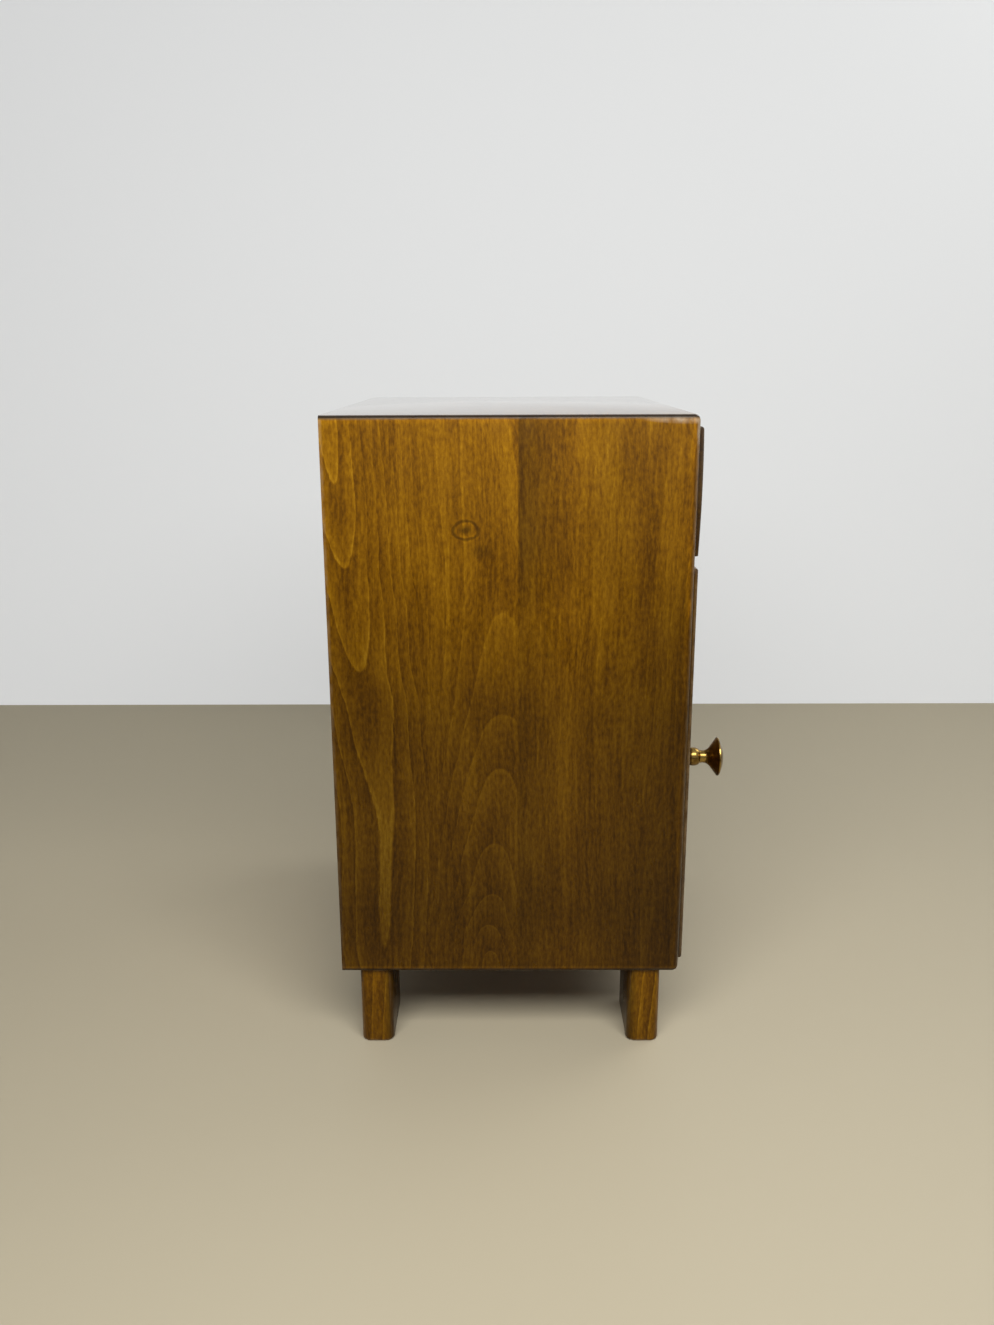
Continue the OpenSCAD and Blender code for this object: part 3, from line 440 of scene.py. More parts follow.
# strength of the colour from a mark's middle outwards, its oval rim at 1
KNOT = [(0.0, 0.4), (0.25, 0.5), (0.45, 0.95), (0.72, 1.3), (0.88, 0.55), (1.0, 0.6), (1.12, 1.12),
        (1.4, 1.0), (2.0, 1.0)]
SMUDGE = [(0.0, 0.62), (0.5, 0.78), (1.1, 1.0), (2.0, 1.0)]
CHIP = [(0.0, 1.95), (0.6, 1.8), (1.1, 1.0), (2.0, 1.0)]
left_wood = beech(
    "stained_beech_left_side", UPRIGHT, "side_left",
    [(-131, 1, 0.45, [(74, 60, -290), (300, 50, -280), (560, 64, -290)]),
     (13.5, 0.1, 0.5, [(74, 5, 36), (94, 10, 37), (119.5, 18, 37.7), (149, 26, 34), (197, 34, 32),
                       (266, 42, 27), (314, 50, 25), (401, 58, 25.5), (560, 63, 39)]),
     (87, 14, 0.85, [(74, 36, 131), (100, 34, 131.4), (219, 33.4, 127.4), (274, 31.4, 133),
                     (327, 27.5, 138), (352, 26, 144), (413, 19.7, 150.5), (439, 18, 154.2),
                     (478, 12, 157.5), (507, 10, 159.8), (560, 5, 164)])],
    # shade: uneven stain, darker beside the glue line at 13.5 mm; on the front arris painted shade on its
    # rounding and a painted highlight line behind it; low_shade the same lower down, darker along the front
    shade=[(-131, 0.9), (-127, 0.95), (-125, 1.4), (-123, 1.0), (-106, 0.92), (-61, 0.86), (-30, 1.01),
           (-11, 0.85), (1, 0.66), (13.4, 0.55), (13.6, 1.08), (59, 1.05), (119, 1.06), (170, 1.1)],
    low_shade=[(-131, 0.75), (-127, 0.75), (-125, 1.0), (-123, 0.7), (-106, 0.72), (-61, 0.92),
               (-30, 1.1), (-1, 0.95), (13.4, 0.86), (13.6, 1.0), (59, 1.02), (119, 1.0), (170, 1.0)],
    # rise: painted shade, darker towards the bottom as if the light fell from above; on the top and bottom
    # arrises a dark painted reflection on the rounding, each with a pale band beside it, part painted
    # highlight and part wear
    rise=[(74, 0.1), (76, 0.15), (76.5, 0.8), (78, 0.75), (79, 0.48), (90, 0.5), (134, 0.43), (222, 0.55),
          (310, 0.57), (398, 0.85), (486, 0.98), (548, 1.11), (554, 1.13), (554.5, 1.45), (556.5, 1.45),
          (557, 0.12), (560, 0.1)],
    marks=[(55.1, 469.3, 11, 8, KNOT), (42, 452, 10, 6, SMUDGE), (-12, 366, 3, 4, SMUDGE),
           (-127, 405, 1.6, 10, CHIP)],
    bare=[(-129, 556.5, 46, 4.4), (-129, 545, 2.4, 16)])
right_wood = beech(
    "stained_beech_right_side", UPRIGHT, "side_right",
    [(-131, 1, 0.7, [(74, 40, -60), (260, 30, -66), (420, 34, -70), (560, 48, -64)]),
     (20, 0.1, 0.6, [(74, 60, -290), (300, 70, -280), (560, 60, -290)])],
    shade=[(-131, 0.9), (-60, 1.05), (19.8, 1.04), (20.2, 0.9), (90, 1.05), (170, 0.95)],
    # rise: painted shade, darker towards the bottom as if the light fell from above
    rise=[(74, 0.7), (560, 1.15)], seed=5.0)
top_wood = beech(
    "stained_beech_top", LEVEL, "top_panel",
    [(-130, 1, 0.7, [(-200, 20, -70), (-40, 30, -75), (200, 44, -62)]),
     (-20, 0.1, 1.0, [(-200, 60, 280), (200, 80, 290)]),
     (80, 0.1, 0.7, [(-200, 46, 130), (30, 30, 120), (200, 22, 126)])],
    shade=[(-131, 1.0), (-20.2, 0.96), (-19.8, 1.06), (79.8, 1.0), (80.2, 0.92), (170, 1.0)],
    # rise runs along the grain here: a dark painted reflection on the rounded arrises at the top's two ends
    rise=[(-200, 0.1), (-197.5, 0.12), (-196.5, 1.0), (196.5, 1.0), (197.5, 0.12), (200, 0.1)],
    gloss=0.12, seed=9.0)
# the top has a thicker, glossier coat of lacquer, in which the wall is mirrored
lacquer = top_wood.node_tree.nodes["Principled BSDF"].inputs
lacquer["Coat Weight"].default_value = 1.0
lacquer["Coat Roughness"].default_value = 0.06
lacquer["Coat IOR"].default_value = 1.45
bottom_wood = beech(
    "stained_beech_bottom", LEVEL, "bottom_panel",
    [(-130, 1, 0.8, [(-200, 50, -20), (200, 62, -30)]), (30, 0.1, 0.8, [(-200, 40, 90), (200, 20, 80)])],
    seed=14.0)

fit(boards["left_side_board"], left_wood, "cabinet", "stained_beech", "side_left", edge=CASE_EDGE)
fit(boards["right_side_board"], right_wood, "cabinet", "stained_beech", "side_right", edge=CASE_EDGE)
fit(boards["top_board"], top_wood, "cabinet", "stained_beech", "top_panel", edge=CASE_EDGE)
fit(boards["bottom_board"], bottom_wood, "cabinet", "stained_beech", "bottom_panel", edge=CASE_EDGE)

# Divider and shelf: two more level boards. The divider's ends sit in the housings behind a bare front
# stretch, and the shelf lies loose on its pegs with a rounded front edge.
divider = block("divider_board", divider_low, divider_high)
for sign in (-1, 1):
    side_a, side_b = sorted((sign * inner_x, sign * (divider_high.x + BOARD)))
    chop(divider, block("end", (side_a, divider_low.y - BOARD, divider_low.z - BOARD),
                        (side_b, housing_y, divider_high.z + BOARD)))
divider_wood = beech("stained_beech_divider", LEVEL, "divider",
                     [(-130, 1, 0.8, [(-200, 40, 10), (200, 60, 20)])], seed=17.0)
fit(divider, divider_wood, "cabinet", "stained_beech", "divider")

SHELF_ROUND = 2 * MM
shelf_low, shelf_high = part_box("shelf")
shelf = block("shelf_board", shelf_low, shelf_high)
mark_round(shelf, lambda p: close_to(p.y, shelf_low.y))
round_edges(shelf, SHELF_ROUND, 5)
shelf_wood = beech("stained_beech_shelf", LEVEL, "shelf",
                   [(-130, 1, 0.8, [(-200, 20, 60), (0, 34, 54), (200, 60, 60)])], seed=19.0)
fit(shelf, shelf_wood, "cabinet", "stained_beech", "shelf")

# Feet: four blocks of the same stained beech with upright grain. Their upright edges are rounded and
# their soles chamfered, and two dowels hold each one under the bottom panel.
LEG_ROUND = 8 * MM
SOLE_CHAMFER = 1.5 * MM
# strength of the colour by the distance in mm from the foot's inner face: painted shade, darkest on the
# inner face, which lies under the cabinet
FOOT_SHADE = [(0, 0.3), (3, 0.4), (8, 0.8), (11, 1.0)]
FOOT_OUTER = 0.9  # at the outer face
feet = (("leg_front_left", "front_left_foot"), ("leg_front_right", "front_right_foot"),
        ("leg_rear_left", "rear_left_foot"), ("leg_rear_right", "rear_right_foot"))
for number, (part, name) in enumerate(feet):
    foot_low, foot_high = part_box(part)
    foot = block(name, foot_low, foot_high)
    for x in (foot_low.x, foot_high.x):
        for y in (foot_low.y, foot_high.y):
            pick(foot, "EDGE", lambda p: close_to(p.x, x) and close_to(p.y, y))
            bpy.ops.mesh.bevel(offset=LEG_ROUND, segments=8, affect="EDGES")
            bpy.ops.object.mode_set(mode="OBJECT")
    pick(foot, "FACE", lambda p: close_to(p.z, foot_low.z))
    bpy.ops.mesh.bevel(offset=SOLE_CHAMFER, segments=1, affect="EDGES")
    bpy.ops.object.mode_set(mode="OBJECT")
    middle_y = (foot_low.y + foot_high.y) / 2 / MM
    half_y = (foot_high.y - foot_low.y) / 2 / MM
    inward = 1 if middle_y < 0 else -1
    shades = [(middle_y + inward * (half_y - inset), strength)
              for inset, strength in FOOT_SHADE + [(2 * half_y, FOOT_OUTER)]]
    foot_wood = beech("stained_beech_" + name, UPRIGHT, part,
                      [(-170, 1, 1.0, [(0, 50, middle_y - 60), (80, 56, middle_y - 60)])],
                      shade=sorted(shades), seed=21.0 + number)
    fit(foot, foot_wood, "cabinet", "stained_beech", part)

# Drawer front: one board of stained beech with level grain. Its lip covers the opening's edges and swells
# a little, fullest just above its middle. Behind it the sides' tails sit in slots, the bottom in a groove.
BULGE_UP = 60 * MM
FOOT_LIP = 3.6 * MM
LIP_ROUND = 3.5 * MM
LIP_GAP = 0.5 * MM
ENTRY_GAP = 1.5 * MM
TAILS = 3
TAIL_HALF = 7 * MM
TAIL_SLOPE = 0.16
TAIL_LENGTH = 9 * MM
EASE = 0.1 * MM  # clearance of the tails and the bottom
FRONT_EDGE = 0.25 * MM
STRIPS = 24  # that the bulge is drawn in
LIP_GLOSS = 0.4  # more of a shine than on the case


def push(piece, kind, test, way):
    """Moves chosen faces or edges of a piece."""
    pick(piece, kind, test)
    bpy.ops.transform.translate(value=way)


def stepped_front(name, low, high, entry_low, entry_high, lip_back):
    """A lip with a thicker part behind it that enters the opening."""
    piece = block(name, low, (high.x, lip_back, high.z))
    for x in (entry_low.x, entry_high.x):
        saw(piece, (x, 0, 0), (1, 0, 0), drop=False)
    for z in (entry_low.z, entry_high.z):
        saw(piece, (0, 0, z), (0, 0, 1), drop=False)
    pick(piece, "FACE", lambda p: close_to(p.y, lip_back)
         and entry_low.x - HAIR < p.x < entry_high.x + HAIR
         and entry_low.z - HAIR < p.z < entry_high.z + HAIR)
    bpy.ops.mesh.extrude_region_move(TRANSFORM_OT_translate={"value": (0, high.y - lip_back, 0)})
    take(piece)
    return piece


lip_back = outer_low.y - LIP_GAP
entry_x = inner_x - ENTRY_GAP
front_low, front_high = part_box("drawer_front")
drawer_front = stepped_front(
    "bulged_drawer_front", front_low, front_high,
    Vector((-entry_x, 0, divider_high.z + ENTRY_GAP)), Vector((entry_x, 0, inner_high - ENTRY_GAP)),
    lip_back)
full_lip = lip_back - front_low.y
rise = full_lip - FOOT_LIP
bulge_radius = (BULGE_UP ** 2 + rise ** 2) / (2 * rise)
front_height = front_high.z - front_low.z
for i in range(1, STRIPS):
    saw(drawer_front, (0, 0, front_low.z + front_height * i / STRIPS), (0, 0, 1), drop=False)
for z in sorted({round(v.co.z, 6) for v in drawer_front.data.vertices}):
    up = z - front_low.z - BULGE_UP
    sink = bulge_radius - math.sqrt(bulge_radius ** 2 - up ** 2)
    push(drawer_front, "EDGE", lambda p: close_to(p.z, z) and close_to(p.y, front_low.y), (0, sink, 0))
for x in (front_low.x, front_high.x):
    mark_round(drawer_front, lambda p: close_to(p.x, x) and p.y < lip_back - FOOT_LIP / 2)
mark_round(drawer_front, lambda p: close_to(p.z, front_high.z) and p.y < lip_back - FOOT_LIP / 2)
round_edges(drawer_front, LIP_ROUND, 6)
side_low, side_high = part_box("drawer_side_left")
pitch = (side_high.z - side_low.z) / TAILS
root_half = TAIL_HALF + EASE - MM * TAIL_SLOPE
tip_half = TAIL_HALF + EASE + (TAIL_LENGTH + EASE) * TAIL_SLOPE
for sign in (-1, 1):
    for i in range(TAILS):
        z = side_low.z + (i + 0.5) * pitch
        x = sorted((sign * (-side_high.x - EASE), sign * (entry_x + MM)))
        tip_y = front_high.y - TAIL_LENGTH - EASE
        slot = block("slot", (x[0], tip_y, z - root_half), (x[1], front_high.y + MM, z + root_half))
        pick(slot, "FACE", lambda p: close_to(p.y, tip_y))
        bpy.ops.transform.resize(value=(1, 1, tip_half / root_half), center_override=(0, tip_y, z))
        take(slot)
        chop(drawer_front, slot)
bottom_low, bottom_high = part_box("drawer_bottom")
chop(drawer_front, block("groove", (bottom_low.x - EASE, bottom_low.y - EASE, bottom_low.z),
                         (bottom_high.x + EASE, front_high.y + MM, bottom_high.z + EASE)))
drawer_wood = beech("stained_beech_drawer_front", LEVEL_FRONT, "drawer_front",
                    [(400, 1, 0.9, [(-190, 34, 470), (0, 24, 476), (190, 38, 470)])],
                    # rise runs along the grain here: painted shade on the front's end edges, a little
                    # lighter in the middle
                    rise=[(-190, 0.25), (-188.5, 0.35), (-186, 0.9), (0, 1.1), (186, 0.9), (188.5, 0.35),
                          (190, 0.25)],
                    gloss=0.2, seed=33.0)
drawer_wood.node_tree.nodes["Principled BSDF"].inputs["Specular IOR Level"].default_value = LIP_GLOSS
fit(drawer_front, drawer_wood, "drawer", "stained_beech", "drawer_front", edge=FRONT_EDGE)

# Door: a flat board of stained beech with upright grain, its lip rounded all round the face. The cranked
# hinge leaves lie flush in recesses behind the lip, along the step and over the door's back.
DOOR_ROUND = 2.5 * MM
LEAF = 1.2 * MM
door_low, door_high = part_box("door_panel")
door = stepped_front(
    "cupboard_door", door_low, door_high,
    Vector((-entry_x, 0, inner_low + ENTRY_GAP)), Vector((entry_x, 0, divider_low.z - ENTRY_GAP)), lip_back)
for x in (door_low.x, door_high.x):
    mark_round(door, lambda p: close_to(p.x, x) and close_to(p.y, door_low.y))
for z in (door_low.z, door_high.z):
    mark_round(door, lambda p: close_to(p.z, z) and close_to(p.y, door_low.y))
round_edges(door, DOOR_ROUND, 5)
for part in ("top", "bottom"):
    leaf_low, leaf_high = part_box("hinge_%s_door_leaf" % part)
    for low, high in (
            ((entry_x - LEAF, lip_back - LEAF), (door_high.x + MM, lip_back + MM)),
            ((entry_x - LEAF, lip_back - LEAF), (entry_x + MM, door_high.y + MM)),
            ((leaf_low.x, door_high.y - LEAF), (entry_x + MM, door_high.y + MM))):
        chop(door, block("recess", (*low, leaf_low.z), (*high, leaf_high.z)))
door_wood = beech("stained_beech_door", UPRIGHT_FRONT, "door_panel",
                  [(-190, 1, 0.75, [(82, 10, -60), (200, 30, -64), (436, 50, -50)]),
                   (60, 0.1, 1.2, [(82, 60, -240), (436, 70, -250)])],
                  # shade: painted shade on the door's upright edges, and a step in the stain at the glue
                  # line at 60 mm
                  shade=[(-190, 0.4), (-188, 0.45), (-185, 1.0), (59.8, 1.0), (60.2, 0.86), (185, 0.95),
                         (188, 0.45), (190, 0.4)],
                  # rise: painted shade, darker towards the bottom as if the light fell from above
                  rise=[(74, 0.75), (436, 1.1)], gloss=0.2, seed=37.0)
door_wood.node_tree.nodes["Principled BSDF"].inputs["Specular IOR Level"].default_value = LIP_GLOSS
fit(door, door_wood, "door", "stained_beech", "door_panel", edge=FRONT_EDGE)

# Knob: turned from brass on a lathe. A foot and a bead stand on the door, a neck flares out like a trumpet
# to a thin rim, and a shallow dome closes the end. It has dulled, and is darker where no hand rubs it.
KNOB_SIDES = 96
knob_low, knob_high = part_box("door_knob")
knob_x, knob_z = (knob_low.x + knob_high.x) / 2, (knob_low.z + knob_high.z) / 2
knob_length = knob_high.y - knob_low.y
RIM = (knob_high.x - knob_low.x) / 2
RIM_THICK = 1 * MM
RIM_BREAK = 0.1 * MM
BEAD, BEAD_UP, BEAD_LENGTH = 8.4 * MM, 3.5 * MM, 11 * MM
BEAD_STEPS = 17
BEAD_TURN = 80  # degrees that its arc runs to either side of its fullest place
NECK = 5.6 * MM
FLARE, FLARE_UP, FLARE_TURN = 8.5 * MM, 17 * MM, math.radians(58)
FLARE_STEPS = 12
DOME = 4.5 * MM
DOME_STEPS = 16
dome_radius = (RIM ** 2 + DOME ** 2) / (2 * DOME)
dome_turn = math.asin(RIM / dome_radius)
rim_up = knob_length - DOME - RIM_THICK
profile = [((NECK + BEAD) / 2, 0.0), ((NECK + BEAD) / 2, BEAD_UP)]
for i in range(BEAD_STEPS):
    turn = math.radians(-BEAD_TURN + 2 * BEAD_TURN / (BEAD_STEPS - 1) * i)
    profile.append((NECK + (BEAD - NECK) * math.cos(turn),
                    BEAD_UP + BEAD_LENGTH / 2 * (1 + math.sin(turn))))
for i in range(FLARE_STEPS + 1):
    turn = FLARE_TURN * i / FLARE_STEPS
    profile.append((NECK + FLARE * (1 - math.cos(turn)), FLARE_UP + FLARE * math.sin(turn)))
profile += [(RIM - RIM_BREAK, rim_up - RIM_BREAK), (RIM, rim_up), (RIM, rim_up + RIM_THICK - RIM_BREAK),
            (RIM - RIM_BREAK, rim_up + RIM_THICK)]
for i in range(1, DOME_STEPS):
    turn = dome_turn * (1 - i / DOME_STEPS)
    profile.append((dome_radius * math.sin(turn), knob_length - dome_radius * (1 - math.cos(turn))))
bpy.ops.object.select_all(action="DESELECT")
bpy.ops.mesh.primitive_circle_add(vertices=KNOB_SIDES, radius=profile[0][0], fill_type="NGON",
                                  location=(knob_x, knob_high.y, knob_z), rotation=(math.pi / 2, 0, 0))
knob = bpy.context.object
knob.name = "turned_knob"
bpy.ops.object.transform_apply()
bpy.ops.object.mode_set(mode="EDIT")
bpy.ops.mesh.select_mode(type="FACE")
bpy.ops.mesh.select_all(action="SELECT")
for (r0, up0), (r1, up1) in zip(profile, profile[1:]):
    bpy.ops.mesh.extrude_region_move(TRANSFORM_OT_translate={"value": (0, up0 - up1, 0)})
    middle = (knob_x, knob_high.y - up1, knob_z)
    bpy.ops.transform.resize(value=(r1 / r0, 1, r1 / r0), center_override=middle)
bpy.ops.mesh.extrude_region_move(TRANSFORM_OT_translate={"value": (0, 0, 0)})
bpy.ops.mesh.merge(type="CENTER")
take(knob)


FILM_PATCHES = (120, 120, 120)  # cells per metre: the film lies in patches of 8 mm


def metal(name, clean, dull, roughness, grit):
    """Worked metal: a dull film in slow patches over the clean colour, and rubbing marks, grit to the metre
    and four times as long along Y. Real marks are too fine to show, so these are 0.3 to 0.5 mm wide."""
    material = bpy.data.materials.new(name)
    material.use_nodes = True
    tree = material.node_tree
    shader = tree.nodes["Principled BSDF"]
    place = add(tree, "TexCoord")["Object"]
    slow = add(tree, "Mapping", links={"Vector": place, "Scale": FILM_PATCHES})[0]
    patches = add(tree, "TexNoise", links={"Vector": slow, "Scale": 1.0, "Detail": 4.0,
                                           "Roughness": 0.6})["Fac"]
    film = add(tree, "ValToRGB", patches, stops=[(0.35, srgb(dull)), (0.68, srgb(clean))])[0]
    tree.links.new(film, shader.inputs["Base Color"])
    shader.inputs["Metallic"].default_value = 1.0
    fine = add(tree, "Mapping", links={"Vector": place, "Scale": (grit, grit * 0.25, grit)})[0]
    marks = add(tree, "TexNoise", links={"Vector": fine, "Scale": 1.0, "Detail": 3.0})["Fac"]
    rough = add(tree, "MapRange", marks, 0.3, 0.7, roughness * 0.75, roughness * 1.3)[0]
    tree.links.new(rough, shader.inputs["Roughness"])
    bump = add(tree, "Bump", links={"Height": marks, "Strength": 0.1, "Distance": 0.05 * MM})[0]
    tree.links.new(bump, shader.inputs["Normal"])
    return material


knob_brass = metal("aged_brass_knob", "#a68847", "#644b25", 0.19, 2500)
fit(knob, knob_brass, "door", "brass", "door_knob", edge=0)

# Hinges and shelf pegs: pressed and turned brass, duller than the knob because nobody handles them.
fitting_brass = metal("dull_brass_fittings", "#b98a38", "#7c5a22", 0.3, 2000)
dress(fitting_brass, "shelf_pegs", *["hinge_%s_%s" % (a, b) for a in ("top", "bottom")
                                     for b in ("frame_leaf", "door_leaf", "pin")])

# Screws, strike and pole plates: bright zinc-plated steel, slightly clouded.
zinc = metal("zinc_plated_steel", "#b8b8b4", "#8f9090", 0.32, 3000)
dress(zinc, "back_screws", "runner_screws", "drawer_bottom_screws", "knob_screw", "hinge_frame_screws",
      "hinge_door_screws", "catch_plates", "catch_screws", "strike_plate", "strike_screw")

# Drawer box, runners and dowels: planed beech under thin clear lacquer, never stained. The sides are
# dovetailed into front and back, and the runners fill grooves in them.
RAW = [(0.0, srgb("#9a7448")), (0.3, srgb("#b8905f")), (0.5, srgb("#c7a072")), (0.75, srgb("#d2b085")),
       (1.0, srgb("#dfc39a"))]
LENGTHWISE = (math.pi / 2, 0, 0)  # grain along Y on a board that faces along X
raw_sides = beech("raw_beech_lengthwise", LENGTHWISE, "drawer_side_left",
                  [(-600, 1, 0.8, [(-130, 20, -470), (40, 26, -478), (170, 40, -470)])],
                  colours=RAW, wear=0.0, gloss=0.4, seed=51.0)
raw_back = beech("raw_beech_drawer_back", LEVEL_FRONT, "drawer_back",
                 [(300, 1, 0.8, [(-190, 40, 520), (0, 28, 514), (190, 24, 520)])],
                 colours=RAW, wear=0.0, gloss=0.4, seed=53.0)
raw_dowels = beech("raw_beech_dowels", UPRIGHT, "leg_dowels",
                   [(-200, 1, 0.5, [(60, 60, 260), (90, 60, 260)])],
                   colours=RAW, wear=0.0, gloss=0.5, seed=57.0)
dress(raw_sides, "drawer_side_left", "drawer_side_right", "runner_left", "runner_right")
dress(raw_back, "drawer_back")
dress(raw_dowels, "leg_dowels")

# Plywood: the back, the drawer's bottom and the corner tongues. Peeled veneers show a broad wavy figure on
# the faces, and the layers show as light and dark lines on the edges.
PLY = [(0.0, srgb("#9c7648")), (0.35, srgb("#b48d5c")), (0.6, srgb("#c5a071")), (1.0, srgb("#d6b688"))]
PEELED_RING = 17.0  # mm, a year's ring as wide as a peeled veneer shows it
VENEER = 1.0  # mm


def plywood(name, turn, node, seed):
    """turn brings the sheet's thickness along X and the face grain along Z."""
    material = beech(name, turn, node, [(-900, 1, 0.9, [(-300, 8, 0), (0, 14, 30), (600, 9, 10)])],
                     colours=PLY, ring=PEELED_RING, wear=0.0, gloss=0.45, seed=seed)
    tree = material.node_tree
    shader = tree.nodes["Principled BSDF"]
    place = add(tree, "TexCoord")
    board = add(tree, "Mapping", links={"Vector": place["Object"], "Rotation": turn, "Scale": IN_MM})[0]
    through = add(tree, "SeparateXYZ", board)["X"]
    layers = add(tree, "Math", through, 2 * VENEER, operation="FLOORED_MODULO")[0]
    dark = add(tree, "Math", layers, VENEER, operation="GREATER_THAN")[0]
    facing = add(tree, "Mapping", links={"Vector": place["Normal"], "Rotation": turn})[0]
    facing = add(tree, "Math", add(tree, "SeparateXYZ", facing)["X"], operation="ABSOLUTE")[0]
    on_edge = add(tree, "Math", facing, 0.5, operation="LESS_THAN")[0]
    lines = add(tree, "Math", dark, on_edge, operation="MULTIPLY")[0]
    strength = add(tree, "Math", lines, -0.45, 1.0, operation="MULTIPLY_ADD")[0]
    plain_colour = shader.inputs["Base Color"].links[0].from_socket
    lined = add(tree, "VectorMath", plain_colour, links={"Scale": strength}, operation="SCALE")[0]
    tree.links.new(lined, shader.inputs["Base Color"])
    return material


FLAT = (0, -math.pi / 2, 0)  # a sheet that lies level, its face grain along X
STANDING = (0, 0, math.pi / 2)  # a sheet that faces along Y, its face grain along Z
dress(plywood("beech_plywood_back", STANDING, "back_panel", 61.0), "back_panel")
dress(plywood("beech_plywood_drawer_bottom", FLAT, "drawer_bottom", 63.0), "drawer_bottom")
dress(plywood("beech_plywood_tongues", LENGTHWISE, "corner_tongues", 67.0), "corner_tongues")

# Magnetic catch: a moulded cream case under the divider that holds a sintered magnet between steel poles.
# The case has aged in faint clouds and is finely pitted by its mould, the magnet is dark, matt and gritty.
CLOUDS = 90.0  # cells per metre: clouds of 11 mm
PITS = 2500.0  # pits of 0.4 mm
GRIT = 1800.0  # grit of 0.6 mm, drawn coarser than the real one, which is too fine to show
case_plastic = bpy.data.materials.new("cream_moulded_plastic")
case_plastic.use_nodes = True
tree = case_plastic.node_tree
shader = tree.nodes["Principled BSDF"]
place = add(tree, "TexCoord")["Object"]
cloud = add(tree, "TexNoise", links={"Vector": place, "Scale": CLOUDS, "Detail": 3.0})["Fac"]
tint = add(tree, "ValToRGB", cloud, stops=[(0.35, srgb("#cfc4a6")), (0.65, srgb("#ded5bb"))])[0]
tree.links.new(tint, shader.inputs["Base Color"])
pits = add(tree, "TexNoise", links={"Vector": place, "Scale": PITS, "Detail": 2.0})["Fac"]
bump = add(tree, "Bump", links={"Height": pits, "Strength": 0.15, "Distance": 0.05 * MM})[0]
tree.links.new(bump, shader.inputs["Normal"])
shader.inputs["Roughness"].default_value = 0.45
dress(case_plastic, "catch_case")

magnet_dark = bpy.data.materials.new("sintered_ferrite")
magnet_dark.use_nodes = True
tree = magnet_dark.node_tree
shader = tree.nodes["Principled BSDF"]
place = add(tree, "TexCoord")["Object"]
grit = add(tree, "TexNoise", links={"Vector": place, "Scale": GRIT, "Detail": 4.0})["Fac"]
tint = add(tree, "ValToRGB", grit, stops=[(0.3, srgb("#222226")), (0.7, srgb("#3c3c40"))])[0]
tree.links.new(tint, shader.inputs["Base Color"])
bump = add(tree, "Bump", links={"Height": grit, "Strength": 0.3, "Distance": 0.05 * MM})[0]
tree.links.new(bump, shader.inputs["Normal"])
shader.inputs["Roughness"].default_value = 0.7
dress(magnet_dark, "catch_magnet")

# Floor and wall: plain pale ground and a plain pale wall behind it, neither part of the cabinet.
# The wall is seen through from behind, so that it hides nothing in a view from there.
FLOOR_BACK = 0.838
ROOM = 4.0


def plain(name, colour, roughness):
    material = bpy.data.materials.new(name)
    material.use_nodes = True
    shader = material.node_tree.nodes["Principled BSDF"]
    shader.inputs["Base Color"].default_value = srgb(colour)
    shader.inputs["Roughness"].default_value = roughness
    return material


def looked_at(tree):
    """1 for what the camera sees, straight or in a shine, and 0 for the light that falls on the cabinet."""
    ray = add(tree, "LightPath")
    return add(tree, "Math", ray["Is Camera Ray"], ray["Is Glossy Ray"], use_clamp=True)[0]


bpy.ops.object.select_all(action="DESELECT")
bpy.ops.mesh.primitive_plane_add(size=2 * ROOM, location=(0, 0, 0))
floor = bpy.context.object
floor.name = "floor"
floor.data.materials.append(plain("pale_floor", "#b2a890", 0.6))

bpy.ops.mesh.primitive_plane_add(size=2 * ROOM, location=(FLOOR_BACK, 0, ROOM),
                                 rotation=(0, -math.pi / 2, 0))
wall = bpy.context.object
wall.name = "wall"
wall_paint = plain("pale_wall", "#eceeee", 0.8)
tree = wall_paint.node_tree
share = add(tree, "Math", looked_at(tree), 0.5, operation="MULTIPLY")[0]
glow = add(tree, "Emission", links={"Color": srgb("#eeeff0"), "Strength": 1.0})[0]
pale = add(tree, "MixShader", share, tree.nodes["Principled BSDF"].outputs[0], glow)[0]
behind = add(tree, "NewGeometry")["Backfacing"]
clear = add(tree, "BsdfTransparent")[0]
through = add(tree, "MixShader", behind, pale, clear)[0]
tree.links.new(through, tree.nodes["Material Output"].inputs["Surface"])
wall.data.materials.append(wall_paint)

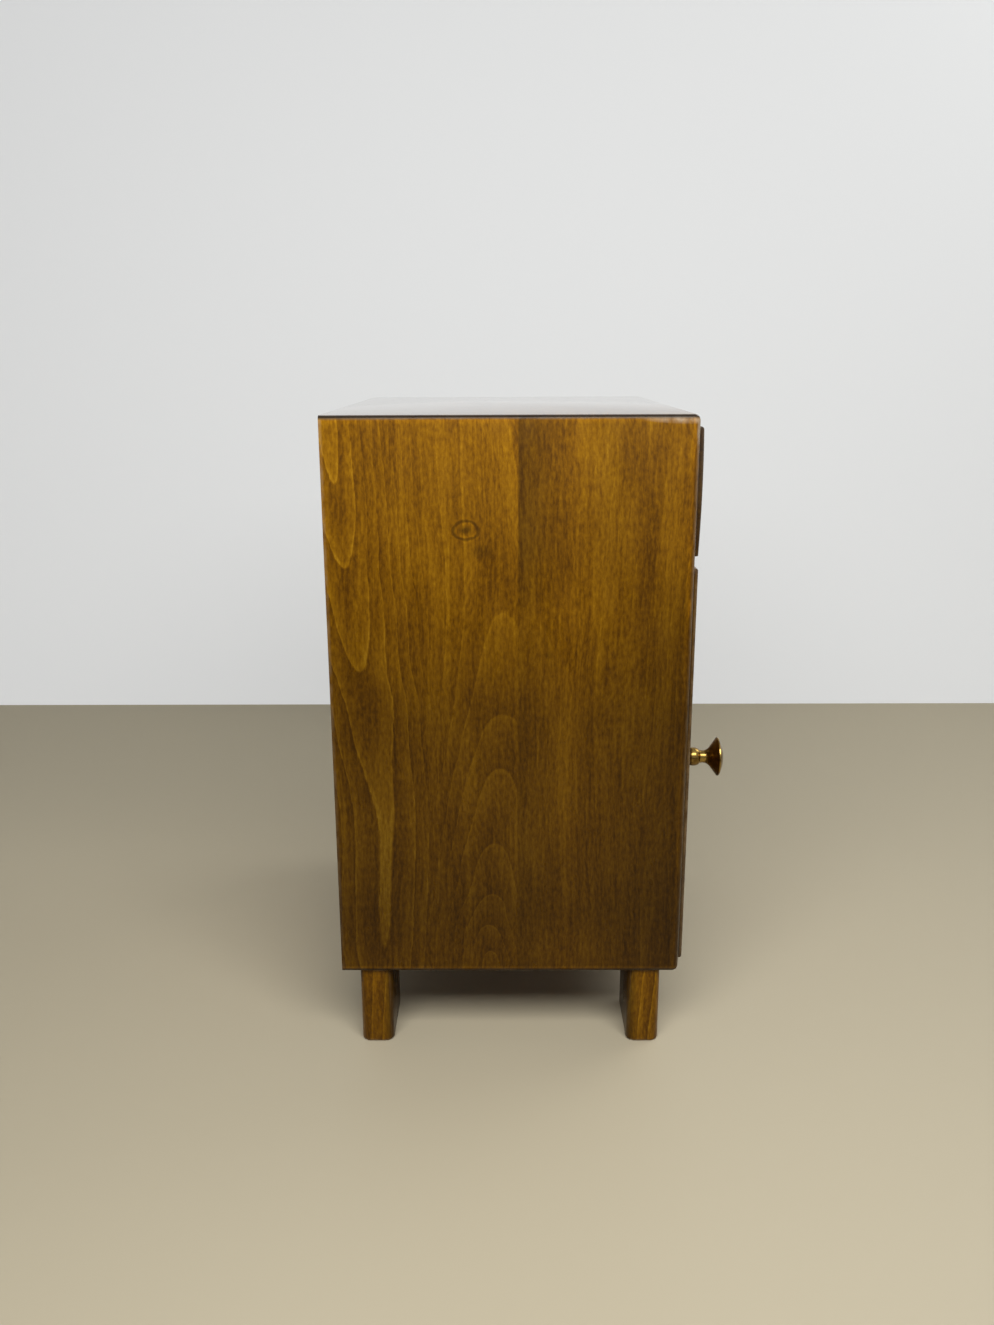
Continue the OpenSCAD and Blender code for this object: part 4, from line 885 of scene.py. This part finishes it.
# Light: two soft lamps, a long shallow one above the camera's side and a squarer one above the front, in a
# pale room that gives a little even light of its own.
ROOM_TINT = (0.9, 0.92, 0.94, 1)
ROOM_LIGHT = 0.12
ROOM_SEEN = 0.75
lamps = (((-1.0, -0.05, 1.15), (-0.1, 0, 0.35), 1.4, 0.55, 24.2),
         ((0.6, -1.15, 1.5), (0, 0, 0.3), 1.0, 0.8, 9))
for place, aim, width, depth, energy in lamps:
    bpy.ops.object.light_add(type="AREA", location=place)
    lamp = bpy.context.object
    lamp.data.shape = "RECTANGLE"
    lamp.data.size = width
    lamp.data.size_y = depth
    lamp.data.energy = energy
    lamp.rotation_euler = (Vector(aim) - lamp.location).to_track_quat("-Z", "Y").to_euler()
    lamp.visible_camera = False

world = bpy.data.worlds.new("room")
bpy.context.scene.world = world
world.use_nodes = True
tree = world.node_tree
level = add(tree, "MapRange", looked_at(tree), 0.0, 1.0, ROOM_LIGHT, ROOM_SEEN)[0]
tree.nodes["Background"].inputs["Color"].default_value = ROOM_TINT
tree.links.new(level, tree.nodes["Background"].inputs["Strength"])
bpy.context.scene.view_settings.view_transform = "Standard"

# Camera: stands to the left of the cabinet, 0.9 m from its side panel and just above its top.
STAND = Vector((-1.10035, 0.02433, 0.60448))
FOCAL = 1128.5  # in pixels of a picture 1325 pixels high
PICTURE_H = 1325
SENSOR = 36.0
PITCH = math.radians(15.211)
YAW = math.radians(0.391)
ROLL = math.radians(-0.230)
ahead = Vector((math.cos(PITCH) * math.cos(YAW), math.cos(PITCH) * math.sin(YAW), -math.sin(PITCH)))
right = Vector((math.sin(YAW), -math.cos(YAW), 0))
up = right.cross(ahead)
turned_right = right * math.cos(ROLL) + up * math.sin(ROLL)
turned_up = up * math.cos(ROLL) - right * math.sin(ROLL)
camera_data = bpy.data.cameras.new("camera")
camera_data.sensor_fit = "VERTICAL"
camera_data.sensor_height = SENSOR
camera_data.lens = SENSOR * FOCAL / PICTURE_H
camera = bpy.data.objects.new("camera", camera_data)
bpy.context.scene.collection.objects.link(camera)
camera.matrix_world = Matrix((
    (turned_right.x, turned_up.x, -ahead.x, STAND.x),
    (turned_right.y, turned_up.y, -ahead.y, STAND.y),
    (turned_right.z, turned_up.z, -ahead.z, STAND.z),
    (0, 0, 0, 1),
))
bpy.context.scene.camera = camera
